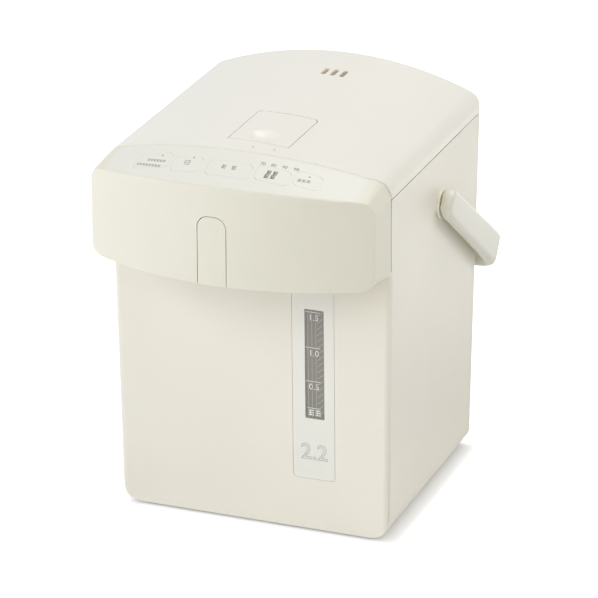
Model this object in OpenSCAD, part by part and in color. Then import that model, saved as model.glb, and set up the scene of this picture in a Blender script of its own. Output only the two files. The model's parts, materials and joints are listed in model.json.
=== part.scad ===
// Electric thermo pot: a boiler pot with a pump, a hinged lid, a front head with keys and a spout,
// a level gauge and a carrying handle.
// +Z is up, the front faces -Y, and the origin is the middle of the pot's outer box on the table.

/* [Case] */
// Width of the case at the lid seam
case_w = 195; // [188:1:205]
// Depth of the case at the lid seam
case_d = 179; // [177:1:190]
// Height of the lid seam above the table
seam_h = 243.5; // [242:0.5:256]
// Wall of the moulded case, lid and head
wall = 2.5; // [2.2:0.1:2.8]
// Lean of the side walls in degrees
side_draft = 0.65; // [0.2:0.05:0.9]
// Lean of the front wall in degrees
front_draft = 1.3; // [0.6:0.1:1.5]
// Lean of the rear wall in degrees
back_draft = 1.0; // [0.5:0.1:1.2]
// Radius of the long bottom corners
bottom_r = 13; // [9:1:16]
// Radius of the upright edges
edge_r = 4; // [3:0.5:5]
// Gap between the case and the table
foot_gap = 1.5; // [1:0.1:3]

/* [Lid] */
// Height of the lid crown above the seam
lid_rise = 30.5; // [28:0.5:36]
// Radius of the crown, seen from the front
crown_r = 244; // [230:1:280]
// Radius of the shoulders of the lid
shoulder_r = 13; // [9:1:14]
// Reach of the lid in front of the case
lid_reach = 25; // [22:1:28]
// Radius of the lid's front edge, seen from above
lid_bow_r = 203; // [195:1:240]
// Gap along the seams round the lid
seam_gap = 0.8; // [0.7:0.05:1]
// Radius of the rolled rear edge round the hinge pin
hinge_r = 7.5; // [7:0.1:8.5]
// Radius of the hinge pin
hinge_pin_r = 2; // [1.6:0.1:2.4]
// Distance of each hinge lug from the middle
lug_x = 52; // [46:1:58]
// Width of a hinge lug
lug_w = 12; // [8:1:14]

/* [Lever] */
// Middle of the lever, across the lid
lever_x = 9.3; // [6:0.1:12]
// Width of the lever
lever_w = 42; // [36:1:46]
// Front edge of the lever, behind the case front
lever_front = -7.2; // [-9:0.1:-5]
// Rear edge of the lever, behind the case front
lever_back = 49.3; // [46:0.1:54]
// Gap round the lever
lever_gap = 0.5; // [0.4:0.05:0.7]
// Diameter of the finger dimple
dimple_d = 21; // [16:1:22]
// Depth of the finger dimple
dimple_depth = 3; // [2:0.25:3.5]
// Width of the latch bolt
bolt_w = 14; // [10:1:16]
// Thickness of the latch bolt
bolt_t = 4; // [3:0.25:4.5]

/* [Vents] */
// Number of steam slots
vent_count = 3; // [2:1:3]
// Spacing of the steam slots
vent_pitch = 6.5; // [5.5:0.1:7]
// Width of a steam slot
vent_w = 3.4; // [2.8:0.1:3.8]
// Length of a steam slot
vent_len = 12.5; // [9:0.5:15]
// Middle of the slots, behind the case front
vent_y = 136.5; // [130:0.5:140]

/* [Head] */
// Reach of the head in front of the case
head_reach = 57; // [54:1:62]
// Radius of the head's front face, seen from above
head_bow_r = 171; // [165:1:200]
// Height of the underside of the head
head_h = 191.5; // [189:0.5:196]
// Drop of the brow below the crown of the lid
brow_drop = 15.5; // [14:0.5:19]
// Radius of the brow, seen from the front
brow_r = 690; // [500:10:900]
// Radius of the head's lower and upper corners
head_corner_r = 9; // [6:0.5:10]

/* [Spout] */
// Middle of the spout, across the head
spout_x = -3; // [-6:0.5:3]
// Width of the spout cover
spout_w = 20.2; // [18.5:0.1:24]
// Height of the top of the spout cover
spout_top = 239; // [234:0.5:240]
// Radius of the spout cover's upper corners
spout_r = 8; // [5:0.5:9]
// Distance of the nozzle from the case front
nozzle_reach = 44; // [43:0.5:45]
// Bore of the hoses and pipes on the way to the nozzle
pipe_r = 5.05; // [4.8:0.05:5.2]
// Wall of the silicone hoses
hose_wall = 1.45; // [1.2:0.05:1.5]

/* [Keys] */
// Depth of each key, front to back
key_d = 13; // [11:0.5:15]
// Corner radius of a key
key_r = 4; // [2:0.5:5]
// Gap round a key
key_gap = 0.25; // [0.2:0.05:0.35]
// Travel of a key
key_travel = 0.8; // [0.5:0.1:0.9]
// Thickness of the control panel film
film_t = 1; // [0.8:0.1:1.3]

/* [Gauge] */
// Middle of the gauge, across the case
gauge_x = 44; // [42:0.5:45]
// Width of the gauge panel
gauge_w = 29.5; // [27:0.5:32]
// Height of the gauge panel's lower edge
gauge_low = 39.5; // [34:0.5:50]
// Height of the gauge panel's upper edge
gauge_high = 174.5; // [170:0.5:180]
// Width of the window
window_w = 13.3; // [12:0.1:15]
// Height of the window's lower edge
window_low = 81.8; // [78:0.1:90]
// Height of the window's upper edge
window_high = 159.6; // [150:0.1:165]
// Outer radius of the glass level tube
tube_r = 5; // [4.6:0.05:5]
// Wall of the glass level tube
tube_wall = 1; // [0.8:0.1:1.2]

/* [Handle] */
// Pivot of the handle, behind the case front
pivot_y = 97.5; // [92:0.5:102]
// Height of the handle's pivot
pivot_h = 206.3; // [200:0.5:212]
// Angle of the stored handle below the horizontal
handle_drop = 35; // [30:1:40]
// Reach of the handle from its pivot
handle_len = 127; // [124:1:134]
// Width of the handle strap
handle_w = 20.5; // [18:0.5:24]
// Thickness of the handle arms
arm_t = 8.5; // [8:0.25:10]
// Thickness of the hand grip
grip_t = 10.5; // [9:0.5:13]
// Outer corner radius of the handle
handle_r = 16; // [14:1:20]
// Radius of the edges of the strap
strap_edge_r = 3; // [2:0.25:3.5]
// Radius of the handle pins
handle_pin_r = 4; // [3:0.25:4.5]
// Standing height of the round pivot bosses
boss_rise = 1.6; // [1.2:0.1:2.4]

/* [Container] */
// Gap between the container and the case walls
container_gap = 7; // [7:0.5:9]
// Steel of the container
steel_t = 0.6; // [0.5:0.1:0.8]
// Height of the container floor, inside
floor_h = 84; // [80:0.5:90]
// Radius of the container's lower corner
container_round = 14; // [8:1:18]
// Depth of the flange below the seam
flange_drop = 9.5; // [8.5:0.5:11]
// Radius of the heater plate
heater_r = 44; // [36:1:46]
// Thickness of the heater plate
heater_t = 6; // [4:0.5:7]

/* [Pump] */
// Middle of the pump, across the case
pump_x = 30; // [26:0.5:31]
// Distance of the pump in front of the container's middle
pump_back = 47.4; // [42:0.2:48]
// Outer radius of the pump housing
pump_r = 18; // [16:0.5:18]
// Radius of the impeller
impeller_r = 13; // [10:0.5:13]
// Number of impeller blades
blade_count = 7; // [5:1:9]
// Radius of the pump motor
motor_r = 17; // [14:0.5:17]
// Height of the pump motor
motor_len = 27; // [22:1:28]

/* [Hidden] */

// Clearances and small sizes
fit = 0.15;
touch = 0.05;
running = 0.06;
hw = case_w / 2;
arc_steps = 6;
crown_steps = 20;
$fn = 64;

// Colours
cream = [0.90, 0.89, 0.85];
light_cream = [0.93, 0.93, 0.90];
panel_white = [0.91, 0.91, 0.88];
steel = [0.75, 0.76, 0.77];
silicone = [0.85, 0.84, 0.80];
dark = [0.25, 0.25, 0.26];
brown = [0.55, 0.45, 0.33];
copper = [0.75, 0.50, 0.30];
board_green = [0.16, 0.38, 0.24];

// ---------- Shared outlines ----------

function arc(c, r, a0, a1, n = arc_steps) =
    [for (i = [0 : n]) c + r * [cos(a0 + (a1 - a0) * i / n), sin(a0 + (a1 - a0) * i / n)]];

// An arch with its apex at 0,0: a wide arc of radius rr between two corner arcs of radius r
function arch_centre(w, rr, r) = [w - r, sqrt(pow(rr - r, 2) - pow(w - r, 2)) - rr];
function arch_angle(w, rr, r) = atan2(arch_centre(w, rr, r)[1] + rr, w - r);
function arch(w, rr, r) =
    let (c = arch_centre(w, rr, r), a = arch_angle(w, rr, r))
    concat(arc(c, r, 0, a),
           [for (i = [1 : crown_steps - 1])
               let (t = a + (180 - 2 * a) * i / crown_steps) [rr * cos(t), rr * sin(t) - rr]],
           arc([-c[0], c[1]], r, 180 - a, 180));

// Height of that arch at a place across it
function arch_at(x, w, rr, r) =
    let (c = arch_centre(w, rr, r), a = arch_angle(w, rr, r), ax = min(abs(x), w))
    ax < rr * cos(a) ? sqrt(rr * rr - ax * ax) - rr : c[1] + sqrt(max(0, r * r - pow(ax - c[0], 2)));

// Case walls at a height
function case_half(z) = hw - (seam_h - z) * tan(side_draft);
function case_front(z) = (seam_h - z) * tan(front_draft);
function case_back(z) = case_d - (seam_h - z) * tan(back_draft);

// Lengthwise middle of the container: halfway between the walls at its floor
container_y = (case_front(floor_h) + case_back(floor_h)) / 2;
container_r = min(case_d, case_w) / 2 - wall - container_gap;
pump_y = container_y - pump_back;

// Lid and head
lid_low = seam_h + seam_gap / 2;
case_top = seam_h - seam_gap / 2;
lid_top = seam_h + lid_rise;
brow_h = lid_top - brow_drop;
film_x = hw - 11.8;
bow_y = lid_bow_r - lid_reach;
hinge_y = case_d - hinge_r;
hinge_z = lid_low + hinge_r;
function lid_surface(x) = lid_top + arch_at(x, hw, crown_r, shoulder_r);
function brow_surface(x) = brow_h + arch_at(x, hw, brow_r, head_corner_r);
function lid_front(x) = bow_y - sqrt(pow(lid_bow_r, 2) - x * x);
function head_front(x) = -head_reach - arch_at(x, hw, head_bow_r, edge_r);
// A point of the control deck: t runs from the lid seam at 0 to the brow at 1, d is depth below it
function deck_at(x, t, d = 0) =
    [x, lid_front(x) * (1 - t) + head_front(x) * t,
     lid_surface(x) * (1 - t) + brow_surface(x) * t - d];
deck_tilt = atan((lid_top - brow_h) / (head_reach - lid_reach));
deck_normal = [0, -sin(deck_tilt), cos(deck_tilt)];

// Handle
strap_x = hw + boss_rise + 0.4;
handle_x = strap_x + arm_t;
handle_half = handle_w / 2;
handle_back = pivot_y + (handle_len - strap_edge_r) * cos(handle_drop)
    + (handle_half - strap_edge_r) * sin(handle_drop) + strap_edge_r;

// Shift that puts the middle of the outer box over the origin
part_y = (head_reach - handle_back) / 2;

// Gauge
tube_y = case_front(floor_h) + wall + 8.2;
panel_t = 1.5;
window_t = 1.6;

// Heights inside the case
flange_h = seam_h - flange_drop;
flange_r = container_r + steel_t + 5.4;
well_r = container_r + 3.2;
plug_r = well_r - 1.2;
plug_low = flange_h + 2.5;
motor_low = foot_gap + wall + 2.3;
motor_top = motor_low + motor_len;
pump_low = motor_top;
magnet_gap = 8;
chamber_low = pump_low + magnet_gap + 1;
pump_top = chamber_low + 13;
port_h = chamber_low + 6;
riser_run = norm([gauge_x + 0.6 - pump_x, tube_y - pump_y]);
riser_turn = atan2(tube_y - pump_y, gauge_x + 0.6 - pump_x);
tube_x = gauge_x + 0.6;
bend_r = 9;
port_r = 4.5 + touch;
valve_h = head_h + 24.5;
valve_y = -18;
valve_r = 10;
plunger_r = 7.42;

// Lever
lever_axis_y = (lever_front + lever_back) / 2 + 3;
lever_axis_z = lid_surface(lever_x) - 4.8;
lever_swing = 12;
lever_pin_r = 1.2;
pocket_floor = lid_top - 16;
bolt_z = lid_low + wall + 1.1;
arm_nose = bolt_z + bolt_t / 2;
nose_r = 1.8;
bolt_tip = 0.6 - lid_reach;
spring_x = lever_x + 15;
spring_y = lever_front + 21;

// Keys: place across the deck and width
reboil_place = [-51.5, 25];
lock_place = [-26.5, 20];
dispense_place = [3, 30];
temperature_place = [31.5, 22];
power_place = [53.5, 17];
keys = [reboil_place, lock_place, dispense_place, temperature_place, power_place];
key_flange = 0.9;
board_depth = 18;
board_t = 1.6;
board_left = reboil_place[0] - reboil_place[1] / 2 - 5;
board_right = power_place[0] + power_place[1] / 2 + 5;

// Inlet
inlet_z = 34;
inlet_w = 34;
inlet_tall = 26;
inlet_depth = 11;
power_y = case_d - 111;

// ---------- Shared tools ----------

module placed() translate([0, part_y, 0]) children();

module along_y(y0, y1) translate([0, y1, 0]) rotate([90, 0, 0]) linear_extrude(y1 - y0) children();

module along_x(x0, x1) translate([x0, 0, 0]) rotate([90, 0, 90]) linear_extrude(x1 - x0) children();

module along_z(z0, z1) translate([0, 0, z0]) linear_extrude(z1 - z0) children();

module both_sides() {
    children();
    mirror([1, 0, 0]) children();
}

module round_rect(w, d, r) {
    square([w - 2 * r, d], center = true);
    square([w, d - 2 * r], center = true);
    for (sx = [-1, 1], sy = [-1, 1]) translate([sx * (w / 2 - r), sy * (d / 2 - r)]) circle(r);
}

module box(lo, hi) translate(lo) cube(hi - lo);

module rod_x(y, z, r, x0, x1) translate([x0, y, z]) rotate([0, 90, 0]) cylinder(r = r, h = x1 - x0);

module rod_y(x, z, r, y0, y1) translate([x, y1, z]) rotate([90, 0, 0]) cylinder(r = r, h = y1 - y0);

module rod_z(x, y, r, z0, z1) translate([x, y, z0]) cylinder(r = r, h = z1 - z0);

// Closed skin over rings of points, each ring with the same count
module skin(rings) {
    n = len(rings);
    k = len(rings[0]);
    points = [for (ring = rings) each ring];
    sides = [for (i = [0 : n - 2], j = [0 : k - 1])
        let (a = i * k + j, b = i * k + (j + 1) % k) each [[a, b, a + k], [b, b + k, a + k]]];
    first = [[for (j = [k - 1 : -1 : 0]) j]];
    last = [[for (j = [0 : k - 1]) (n - 1) * k + j]];
    polyhedron(points, concat(first, sides, last));
}

// Rings of a round wire along a path
function unit(v) = v / norm(v);
function wire_rings(path, r, k) =
    [for (i = [0 : len(path) - 1])
        let (d = unit(path[min(i + 1, len(path) - 1)] - path[max(i - 1, 0)]),
             s = unit(cross(d, abs(d[2]) > 0.9 ? [1, 0, 0] : [0, 0, 1])),
             u = cross(s, d))
        [for (j = [0 : k - 1]) path[i] + r * (s * cos(360 * j / k) - u * sin(360 * j / k))]];

module wire(path, r, k = 8) skin(wire_rings(path, r, k));

// ---------- Case ----------

// Front view of the case, inset by i, with rounded bottom corners
function case_outline(i, z0, z1, r) =
    let (cz = z0 + r, cx = case_half(cz) - i - r / cos(side_draft))
    concat(arc([cx, cz], r, -90, -side_draft),
           [[case_half(z1) - i, z1], [i - case_half(z1), z1]],
           arc([-cx, cz], r, 180 + side_draft, 270));

module case_form(i, z0, z1, r) intersection() {
    along_y(-1, case_d + 1) polygon(case_outline(i, z0, z1, r));
    along_x(-hw - 1, hw + 1)
        polygon([[case_front(z0) + i, z0], [case_back(z0) - i, z0],
                 [case_back(z1) - i, z1], [case_front(z1) + i, z1]]);
}

// Takes the sharp corner off one upright edge that leans in x and y
module upright_edge(y, lean_x, lean_y, sy, z0, z1) translate([hw, y, seam_h])
    rotate([lean_y, lean_x, 0])
        along_z(z0 - seam_h, z1 - seam_h) difference() {
            scale_y = sy;
            translate([-edge_r, scale_y > 0 ? -1 : -edge_r]) square([edge_r + 1, edge_r + 1]);
            translate([-edge_r, scale_y * edge_r]) circle(edge_r);
        }

module handle_boss_bores(x0) both_sides()
    rod_x(pivot_y, pivot_h, handle_pin_r + touch, x0, hw + 20);

module gauge_outline(w, z0, z1, r) translate([gauge_x, (z0 + z1) / 2]) round_rect(w, z1 - z0, r);

module base_opening(c) round_rect(2 * (case_half(0) - bottom_r - c), case_d - 34 - 2 * c, 6);

module inlet_outline(grow) translate([0, inlet_z])
    round_rect(inlet_w + 2 * grow, inlet_tall + 2 * grow, 3);

base_mid_y = case_d / 2;
post_x = case_half(0) - bottom_r - 8;
post_front = 24;
post_back = case_d - 24;

module posts() both_sides() for (y = [post_front, post_back]) {
    rod_z(post_x, y, 4.5, foot_gap + wall + touch, 36);
    wall_y = y < base_mid_y ? [4, y] : [y, case_d - 4];
    box([post_x - 1.5, wall_y[0], foot_gap + wall + 2.7], [post_x + 1.5, wall_y[1], 34]);
}

module outer_case() color(cream) placed() difference() {
    union() {
        difference() {
            case_form(0, foot_gap, case_top, bottom_r);
            case_form(wall, foot_gap + wall, seam_h + 1, bottom_r - wall);
            translate([0, base_mid_y, -1]) linear_extrude(20) base_opening(0);
        }
        // Screw posts, the ledge under the container flange and the pivot bosses
        intersection() {
            case_form(wall / 2, foot_gap, case_top, bottom_r - wall / 2);
            union() {
                posts();
                difference() {
                    box([-hw, 0, flange_h - steel_t - 4], [hw, case_d, flange_h - steel_t]);
                    rod_z(0, container_y, container_r + steel_t + 1.4, flange_h - 20, seam_h);
                }
                both_sides() rod_x(pivot_y, pivot_h, handle_half + 1, hw - 9, hw);
            }
        }
        both_sides() rod_x(pivot_y, pivot_h, handle_half + 2, hw - wall, hw + boss_rise);
        // Socket walls for the plug
        intersection() {
            along_y(case_back(inlet_z) - inlet_depth - 6, case_d) inlet_outline(2);
            case_form(0.5, foot_gap, case_top, bottom_r);
        }
    }
    // Upright edges; the front ones end under the head
    both_sides() {
        upright_edge(0, side_draft, front_draft, 1, -2, head_h - 0.5);
        upright_edge(case_d, side_draft, -back_draft, -1, -2, seam_h + 2);
    }
    handle_boss_bores(hw - 20);
    // Inner room for the pin heads
    both_sides() rod_x(pivot_y, pivot_h, handle_pin_r + 3.2, hw - 12, hw - 6);
    // Container room through the pivot bosses
    rod_z(0, container_y, container_r + steel_t + 1.4, flange_h - 60, flange_h - 8);
    // Recess of the gauge panel and the hole behind it
    intersection() {
        along_y(-2, 12) gauge_outline(gauge_w, gauge_low, gauge_high, 3);
        difference() {
            case_form(-1, foot_gap, case_top, bottom_r);
            case_form(panel_t + 0.1, foot_gap, case_top, bottom_r - panel_t - 0.1);
        }
    }
    along_y(-2, 12) gauge_outline(window_w + 6, window_low - 3, window_high + 3, 2);
    // Way through to the head for the water and the wires
    box([-40, -3, head_h + 8], [tube_x + 12, 9, case_top - 10]);
    // Pocket of the inlet and the seat of its block
    along_y(case_back(inlet_z) - inlet_depth, case_d + 5) inlet_outline(0);
    along_y(case_back(inlet_z) - inlet_depth - 8, case_d) translate([0, inlet_z])
        round_rect(inlet_w - 8, inlet_tall - 8, 2);
    // Pilot holes in the posts
    both_sides() for (y = [post_front, post_back]) rod_z(post_x, y, 1.5, 0, 30);
}

module base_plate() color(cream) placed() difference() {
    union() {
        translate([0, base_mid_y, foot_gap]) linear_extrude(wall) base_opening(fit);
        // Stiffening ring, cup of the motor and posts of the board
        translate([0, base_mid_y, foot_gap + wall]) linear_extrude(2) difference() {
            base_opening(3);
            base_opening(5.5);
        }
        rod_z(pump_x, pump_y, motor_r + 2.6, foot_gap + wall, foot_gap + wall + 10);
        for (x = [-70, -14], y = [74, 138]) rod_z(x, y, 3, foot_gap + wall, 18);
    }
    rod_z(pump_x, pump_y, motor_r + fit, motor_low, 40);
    both_sides() for (y = [post_front, post_back]) {
        rod_z(post_x, y, 2, 0, 12);
        rod_z(post_x, y, 3.8, 0, foot_gap + 1.6);
        rod_z(post_x, y, 6, foot_gap + wall, 12);
    }
    both_sides() for (y = foot_places) rod_z(foot_x, y, foot_r + touch, 0, foot_gap + 1);
    // Cooling slots under the board
    for (i = [0 : 4]) box([-62 + i * 9, 92, 0], [-59 + i * 9, 120, 12]);
}

foot_x = post_x - 16;
foot_places = [post_front + 6, post_back - 6];
foot_r = 8;

module feet() color(dark) placed() both_sides() for (y = foot_places) rotate_feet(y);

module rotate_feet(y) translate([foot_x, y, 0]) rotate_extrude()
    polygon([[0, 0], [foot_r - 0.8, 0], [foot_r, 0.8], [foot_r, foot_gap + 1], [0, foot_gap + 1]]);

module base_screws() color(steel) placed() both_sides() for (y = [post_front, post_back])
    difference() {
        union() {
            rod_z(post_x, y, 3.4, foot_gap, foot_gap + 1.5);
            rod_z(post_x, y, 1.45, foot_gap + 1, 20);
        }
        translate([post_x, y, foot_gap + 0.4]) {
            cube([4, 0.8, 1], center = true);
            cube([0.8, 4, 1], center = true);
        }
    }

module top_ring() color(light_cream) placed() difference() {
    union() {
        difference() {
            case_form(wall + fit, flange_h + touch, case_top, 1);
            rod_z(0, container_y, well_r, flange_h - 1, seam_h + 1);
            // The rim falls away a little towards the well
            translate([0, container_y, case_top - 2])
                cylinder(r1 = well_r, r2 = well_r + 1.2, h = 2.01);
        }
        both_sides() hinge_lug();
    }
    both_sides() rod_x(hinge_y, hinge_z, hinge_pin_r + touch, lug_x - lug_w, lug_x + lug_w);
}

module hinge_lug() {
    rod_x(hinge_y, hinge_z, hinge_r - 1.5, lug_x - lug_w / 2, lug_x + lug_w / 2);
    box([lug_x - lug_w / 2, hinge_y - hinge_r + 1.5, flange_h + touch],
        [lug_x + lug_w / 2, case_d - wall - 0.3, case_top + 0.1]);
    box([lug_x - lug_w / 2, hinge_y - hinge_r + 1.5, case_top],
        [lug_x + lug_w / 2, hinge_y + hinge_r - 2.8, hinge_z]);
}

module hinge_pin() color(steel) placed()
    rod_x(hinge_y, hinge_z, hinge_pin_r, -lug_x - 20, lug_x + 20);

// ---------- Boiler ----------

module container() color(steel) placed() difference() {
    union() {
        translate([0, container_y, 0]) rotate_extrude($fn = 96) difference() {
            container_profile(steel_t, 0);
            container_profile(0, 0.01);
        }
        rod_z(pump_x, pump_y, tube_r, floor_h - 14, floor_h - steel_t / 2);
    }
    rod_z(pump_x, pump_y, tube_r - 0.8, floor_h - 15, floor_h + 1);
}

// Half section of the container: its inside, grown by t, with the flange when t is the steel
module container_profile(t, over) {
    r = container_r;
    polygon(concat([[0, floor_h - t]],
                   arc([r - container_round, floor_h + container_round], container_round + t, -90, 0),
                   t > 0 ? [[r + t, flange_h - t], [flange_r, flange_h - t], [flange_r, flange_h]]
                         : [[r, flange_h + over]],
                   [[0, flange_h + over]]));
}

module heat_shield() color(steel) placed() translate([0, container_y, 0]) difference() {
    cylinder(r = container_r + steel_t + 1.4, h = flange_h - 48);
    translate([0, 0, -1]) cylinder(r = container_r + steel_t + 0.6, h = flange_h);
    translate([0, 0, -1]) cylinder(r = container_r + 10, h = floor_h + container_round);
}

module heater_plate() color(dark) placed() difference() {
    union() {
        rod_z(0, container_y, heater_r, floor_h - steel_t - touch - heater_t, floor_h - steel_t - touch);
        // Two terminals
        for (x = [-26, -14]) box([x, container_y - 34, floor_h - heater_t - 8],
                                 [x + 5, container_y - 32.8, floor_h - heater_t]);
    }
    rod_z(0, container_y, 12, 0, floor_h - steel_t - heater_t / 2);
}

module thermostat() color(dark) placed() union() {
    rod_z(0, container_y, 10, floor_h - steel_t - heater_t - 5, floor_h - steel_t - heater_t / 2 - touch);
    rod_z(0, container_y, 7, floor_h - steel_t - heater_t - 9, floor_h - steel_t - heater_t - 5);
    for (s = [-1, 1]) box([s * 12 - 2.5, container_y - 0.5, floor_h - heater_t - 12],
                          [s * 12 + 2.5, container_y + 0.5, floor_h - heater_t - 6.4]);
    box([-13, container_y - 2, floor_h - heater_t - 6.6], [13, container_y + 2, floor_h - heater_t - 5.2]);
}

// ---------- Pump and water path ----------

module pump_motor() color(steel) placed() difference() {
    union() {
        rod_z(pump_x, pump_y, motor_r, motor_low, motor_top);
        for (s = [-1, 1]) box([pump_x + s * 6 - 1, pump_y + motor_r - 1, motor_low + 18],
                              [pump_x + s * 6 + 1, pump_y + motor_r + 5, motor_low + 18.8]);
    }
    rod_z(pump_x, pump_y, 1.5 + running, motor_top - 8, motor_top + 1);
}

module pump_housing() color(dark) placed() difference() {
    union() {
        rod_z(pump_x, pump_y, pump_r, pump_low, pump_top);
        // Lugs that clasp the motor
        for (a = [30, 150, 270]) translate([pump_x, pump_y, 0]) rotate(a)
            box([motor_r - 1, -3, pump_low], [pump_r + 0.4, 3, pump_low + 4]);
        translate([pump_x, pump_y, port_h]) rotate([0, 90, riser_turn])
            cylinder(r = 4.5, h = riser_run - bend_r);
    }
    // Room of the drive magnet, the pump chamber and the outlet port
    rod_z(pump_x, pump_y, impeller_r + 1.2, pump_low - 1, pump_low + magnet_gap);
    difference() {
        rod_z(pump_x, pump_y, impeller_r + 1.8, chamber_low, pump_top + 1);
        rod_z(pump_x, pump_y, 1.5, chamber_low - 1, pump_top - 2);
    }
    translate([pump_x, pump_y, port_h]) rotate([0, 90, riser_turn]) translate([0, 0, impeller_r])
        cylinder(r = 3.2, h = riser_run);
}

module pump_cover() color(dark) placed() difference() {
    union() {
        rod_z(pump_x, pump_y, pump_r, pump_top + touch, pump_top + 2.5);
        rod_z(pump_x, pump_y, tube_r, pump_top + 2, pump_top + 12);
    }
    rod_z(pump_x, pump_y, tube_r - 1, pump_top - 1, pump_top + 13);
}

module drive_magnet() color(dark) placed() union() {
    rod_z(pump_x, pump_y, impeller_r - 1, pump_low + 2.5, pump_low + magnet_gap - 0.8);
    rod_z(pump_x, pump_y, 4, pump_low + 1, pump_low + 3);
    rod_z(pump_x, pump_y, 1.5, pump_low - 7, pump_low + 2);
}

// Curved blades between a hub and the rim of the disc
module impeller() color(panel_white) placed() translate([pump_x, pump_y, 0]) difference() {
    union() {
        rod_z(0, 0, impeller_r, chamber_low + 0.6, chamber_low + 2.6);
        rod_z(0, 0, 4, chamber_low + 0.6, chamber_low + 9);
        for (i = [0 : blade_count - 1]) rotate(360 * i / blade_count) blade();
    }
    rod_z(0, 0, 1.5 + running, 0, pump_top);
}

module blade() intersection() {
    rod_z(0, 0, impeller_r - 0.4, chamber_low + 2.5, chamber_low + 7.5);
    translate([3, -8, chamber_low + 2]) difference() {
        cylinder(r = 9.6, h = 6.5);
        translate([0, 0, -1]) cylinder(r = 8.4, h = 9);
        translate([-20, -20, -1]) cube([40, 20, 9]);
        translate([-20, -1, -1]) cube([20, 40, 9]);
    }
}

module suction_hose() color(silicone) placed() difference() {
    rod_z(pump_x, pump_y, pipe_r + hose_wall + 0.8, pump_top + 4, floor_h - 4);
    rod_z(pump_x, pump_y, pipe_r, pump_top + 3, floor_h - 3);
}

// A quarter bend in the XZ plane: in along +X at the origin, out along +Z
module bend(r, bend_at) translate([0, 0, bend_at]) rotate([90, 0, 0]) mirror([0, 1, 0])
    rotate_extrude(angle = 90) translate([bend_at, 0]) circle(r, $fn = 32);

// Moulded elbow from the pump's port, along +X here, to the foot of the tube
module riser_elbow() color(silicone) placed() translate([pump_x, pump_y, port_h]) rotate(riser_turn)
    difference() {
        union() {
            rod_x(0, 0, port_r + hose_wall, pump_r + 0.5, riser_run);
            rod_z(riser_run, 0, pipe_r + hose_wall, -port_r - hose_wall - 0.5, bend_r + 19);
        }
        rod_x(0, 0, port_r, pump_r, riser_run);
        rod_z(riser_run, 0, pipe_r, -port_r, bend_r + 20);
    }

module level_tube() color([0.8, 0.86, 0.88, 0.5]) placed() difference() {
    rod_z(tube_x, tube_y, tube_r, port_h + bend_r + 2.5, valve_h - 12);
    rod_z(tube_x, tube_y, tube_r - tube_wall, port_h, valve_h);
}

module upper_elbow_form(r) translate([tube_x, tube_y, valve_h]) rotate([180, 0, 90]) {
    translate([-bend_r - 1, 0, 0]) rotate([0, 90, 0])
        cylinder(r = r, h = 1.01, $fn = 32);
    translate([-bend_r, 0, 0]) bend(r, bend_r);
    translate([0, 0, bend_r]) cylinder(r = r, h = 17, $fn = 32);
    translate([-bend_r - 13, 0, 0]) rotate([0, 90, 0]) cylinder(r = r, h = 13, $fn = 32);
}

module upper_elbow() color(silicone) placed() difference() {
    upper_elbow_form(pipe_r + hose_wall);
    upper_elbow_form(pipe_r);
    // Opens both mouths
    rod_z(tube_x, tube_y, pipe_r, valve_h - bend_r - 18, valve_h - bend_r - 10);
    rod_y(tube_x, valve_h, pipe_r, tube_y - bend_r - 14, tube_y - bend_r - 8);
}

module tip_valve() color(panel_white) placed() difference() {
    union() {
        rod_z(tube_x, valve_y, valve_r, valve_h - 12, valve_h + 12);
        rod_y(tube_x, valve_h, tube_r, valve_y, tube_y - bend_r - 3);
        rod_x(valve_y, valve_h, tube_r, tube_x - valve_r - 8, tube_x);
        rod_z(tube_x, valve_y, valve_r + 1.5, valve_h + 7, valve_h + 9);
    }
    rod_z(tube_x, valve_y, plunger_r + 0.08, valve_h - 10, valve_h + 10);
    rod_y(tube_x, valve_h, tube_r - 1.2, valve_y, tube_y);
    rod_x(valve_y, valve_h, tube_r - 1.2, tube_x - valve_r - 9, tube_x);
}

module valve_plunger() color(steel) placed() union() {
    rod_z(tube_x, valve_y, plunger_r, valve_h - 9.7, valve_h - 3);
    translate([tube_x, valve_y, valve_h - 3]) cylinder(r1 = plunger_r, r2 = 4, h = 2);
}

// Pipe from the valve, across to the spout and down
module outlet_form(r, grow) {
    run_end = spout_x + bend_r + 1;
    rod_x(valve_y, valve_h, r, run_end, tube_x - valve_r - 0.3 + grow);
    translate([run_end, valve_y - bend_r - 1, valve_h])
        rotate([0, 0, 90]) rotate_extrude(angle = 90) translate([bend_r + 1, 0]) circle(r, $fn = 32);
    rod_y(spout_x, valve_h, r, bend_r + 1 - nozzle_reach, valve_y - bend_r - 1);
    translate([spout_x, bend_r + 1 - nozzle_reach, valve_h - bend_r - 1]) rotate([0, -90, 0])
        mirror([0, 1, 0]) rotate_extrude(angle = 90) translate([bend_r + 1, 0]) circle(r, $fn = 32);
    rod_z(spout_x, -nozzle_reach, r, head_h + 9 - grow, valve_h - bend_r - 1);
}

module outlet_pipe() color(silicone) placed() difference() {
    outlet_form(pipe_r + hose_wall, 0);
    outlet_form(pipe_r, 1);
}

module spout_nozzle() color(panel_white) placed() translate([spout_x, -nozzle_reach, 0]) difference() {
    union() {
        rod_z(0, 0, tube_r, head_h + 3, head_h + 14);
        rod_z(0, 0, pipe_r + hose_wall, head_h + 4, head_h + 8.7);
        translate([0, 0, head_h + 0.6]) cylinder(r1 = tube_r - 0.6, r2 = pipe_r + hose_wall, h = 3.5);
    }
    rod_z(0, 0, tube_r - 1.2, head_h, head_h + 15);
}

// ---------- Head ----------

module head_plan(i, y1) polygon(concat(
    [for (p = arch(hw - i, head_bow_r - i, edge_r - i)) [p[0], i - head_reach - p[1]]],
    [[i - hw, y1], [hw - i, y1]]));

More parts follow.
